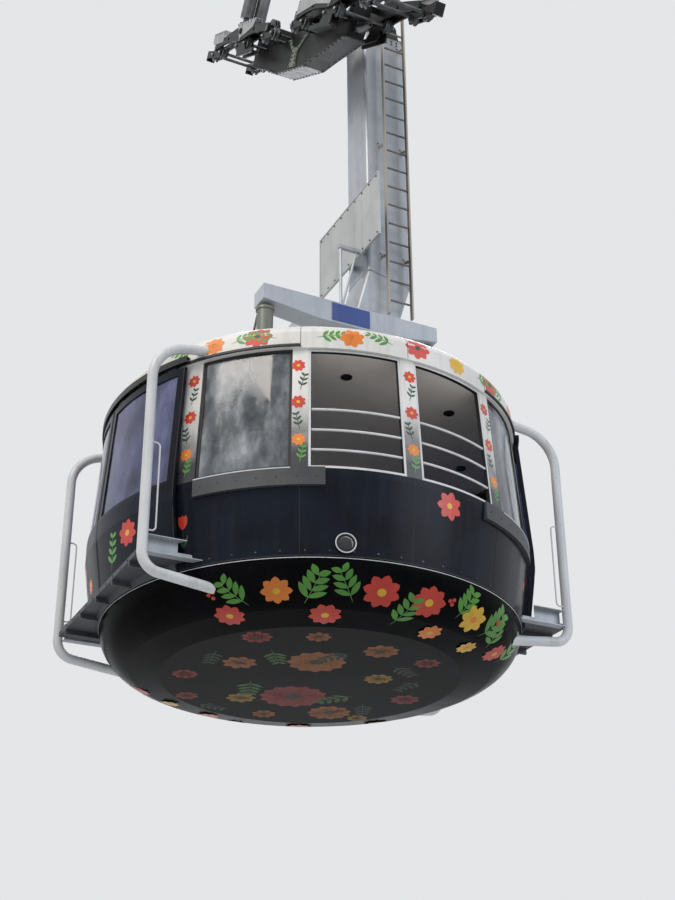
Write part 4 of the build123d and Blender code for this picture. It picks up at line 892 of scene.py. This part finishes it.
# light rim of the port lamps, a ring on the socket's face, and the lens inside it
portTurn, portHeight = -17, 0.130
portFace = 2.40 + 0.0195 + 0.022  # seam's radius, wall's slant up to the lamp, socket
ringProfile = [(0.100, 0), (0.110, 0.003), (0.108, 0.008), (0.100, 0.008), (0.097, 0.003)]
lensProfile = [(0.084, 0), (0.072, 0.006), (0.040, 0.010), (0.0001, 0.011)]
for label, half in halves:
    out = outward(half + portTurn)
    centre = onCabin(0, 0, portHeight) + out * portFace
    ring = turned(centre, out, ringProfile, 40)
    lens = turned(centre - out * 0.010, out, lensProfile, 40)
    makePiece(f"port_ring_{label}", *ring, tubePowder, "hanger", "tube_paint", True)
    makePiece(f"port_lens_{label}", *lens, lensPane, "hanger", "lamp_lens", True)
print("cabin dressed,", sum(addedTriangles), "triangles added")

# Studio. The camera stands at floor level, as the photo looks up from below.
studio = {
    "eye": (-6.71, cabinY - 14.22, seamZ - 5.68), "pitch": 27.25, "yaw": 26.43, "roll": -0.34,
    "focal": 1450.0, "frameLong": 900.0,  # focal length in pixels of the 675 x 900 image
    "floorDrop": 0.04, "floorSize": 90.0, "floorColour": "#dcdcdb", "backColour": "#e4e6e8",
    "ambient": 0.60, "ambientColour": "#f2f5fa",
}


def makeCamera():
    pitch, yaw, roll = (math.radians(studio[k]) for k in ("pitch", "yaw", "roll"))
    ahead = Vector((math.sin(yaw) * math.cos(pitch), math.cos(yaw) * math.cos(pitch), math.sin(pitch)))
    side = Vector((math.cos(yaw), -math.sin(yaw), 0))
    up = side.cross(ahead)
    right = side * math.cos(roll) + up * math.sin(roll)
    top = up * math.cos(roll) - side * math.sin(roll)
    data = bpy.data.cameras.new("camera")
    data.sensor_width = 36.0
    data.lens = data.sensor_width * studio["focal"] / studio["frameLong"]
    data.clip_end = 300.0
    cam = bpy.data.objects.new("camera", data)
    cam.matrix_world = Matrix.Translation(studio["eye"]) @ Matrix((right, top, -ahead)).transposed().to_4x4()
    bpy.context.scene.collection.objects.link(cam)
    bpy.context.scene.camera = cam


# each lamp: azimuth and elevation seen from the cabin, distance, size, power, colour
lamps = (
    ("key", -62, 44, 19.0, 9.0, 2300.0, "#fff6ea"),
    ("fill", 30, 12, 20.0, 10.0, 800.0, "#eef4ff"),
    ("rim", 150, 40, 20.0, 8.0, 1300.0, "#f4f8ff"),
)


def makeLamps():
    centre = Vector((0, cabinY, seamZ + 3.0))
    for name, azimuth, elevation, distance, size, power, colour in lamps:
        a, e = math.radians(azimuth), math.radians(elevation)
        away = Vector((math.sin(a) * math.cos(e), -math.cos(a) * math.cos(e), math.sin(e)))
        data = bpy.data.lights.new(name, "AREA")
        data.size = size
        data.energy = power
        data.color = linear(colour)[:3]
        lamp = bpy.data.objects.new(name, data)
        lamp.location = centre + away * distance
        lamp.rotation_euler = (-away).to_track_quat("-Z", "Y").to_euler()
        bpy.context.scene.collection.objects.link(lamp)


# background seen by the camera, in gloss and through glass; a plain ambient for the rest
def makeWorld():
    world = bpy.data.worlds.new("studioWorld")
    bpy.context.scene.world = world
    world.use_nodes = True
    world.node_tree.nodes.clear()
    path = addNode(world, "ShaderNodeLightPath")
    seen = addNode(world, "ShaderNodeMath", {"operation": "MAXIMUM"},
                   {0: path.outputs["Is Camera Ray"], 1: path.outputs["Is Glossy Ray"]})
    seen = addNode(world, "ShaderNodeMath", {"operation": "MAXIMUM"},
                   {0: seen.outputs[0], 1: path.outputs["Is Transmission Ray"]})
    plain = addNode(world, "ShaderNodeBackground",
                    {"Color": linear(studio["ambientColour"]), "Strength": studio["ambient"]})
    shown = addNode(world, "ShaderNodeBackground", {"Color": linear(studio["backColour"]), "Strength": 1.0})
    mix = addNode(world, "ShaderNodeMixShader", None,
                  {0: seen.outputs[0], 1: plain.outputs[0], 2: shown.outputs[0]})
    addNode(world, "ShaderNodeOutputWorld", None, {0: mix.outputs[0]})


def makeFloor():
    half, z = studio["floorSize"] / 2, studio["eye"][2] - studio["floorDrop"]
    corners = [(-half, -half, z), (half, -half, z), (half, half, z), (-half, half, z)]
    mesh = bpy.data.meshes.new("floor")
    mesh.from_pydata(corners, [], [(0, 1, 2, 3)])
    mesh.materials.append(newMaterial("paleFloor", studio["floorColour"], 0.8, {}))
    floor = bpy.data.objects.new("floor", mesh)
    bpy.context.scene.collection.objects.link(floor)


makeCamera()
makeLamps()
makeWorld()
makeFloor()
bpy.context.scene.view_settings.view_transform = "Standard"
print("studio set")
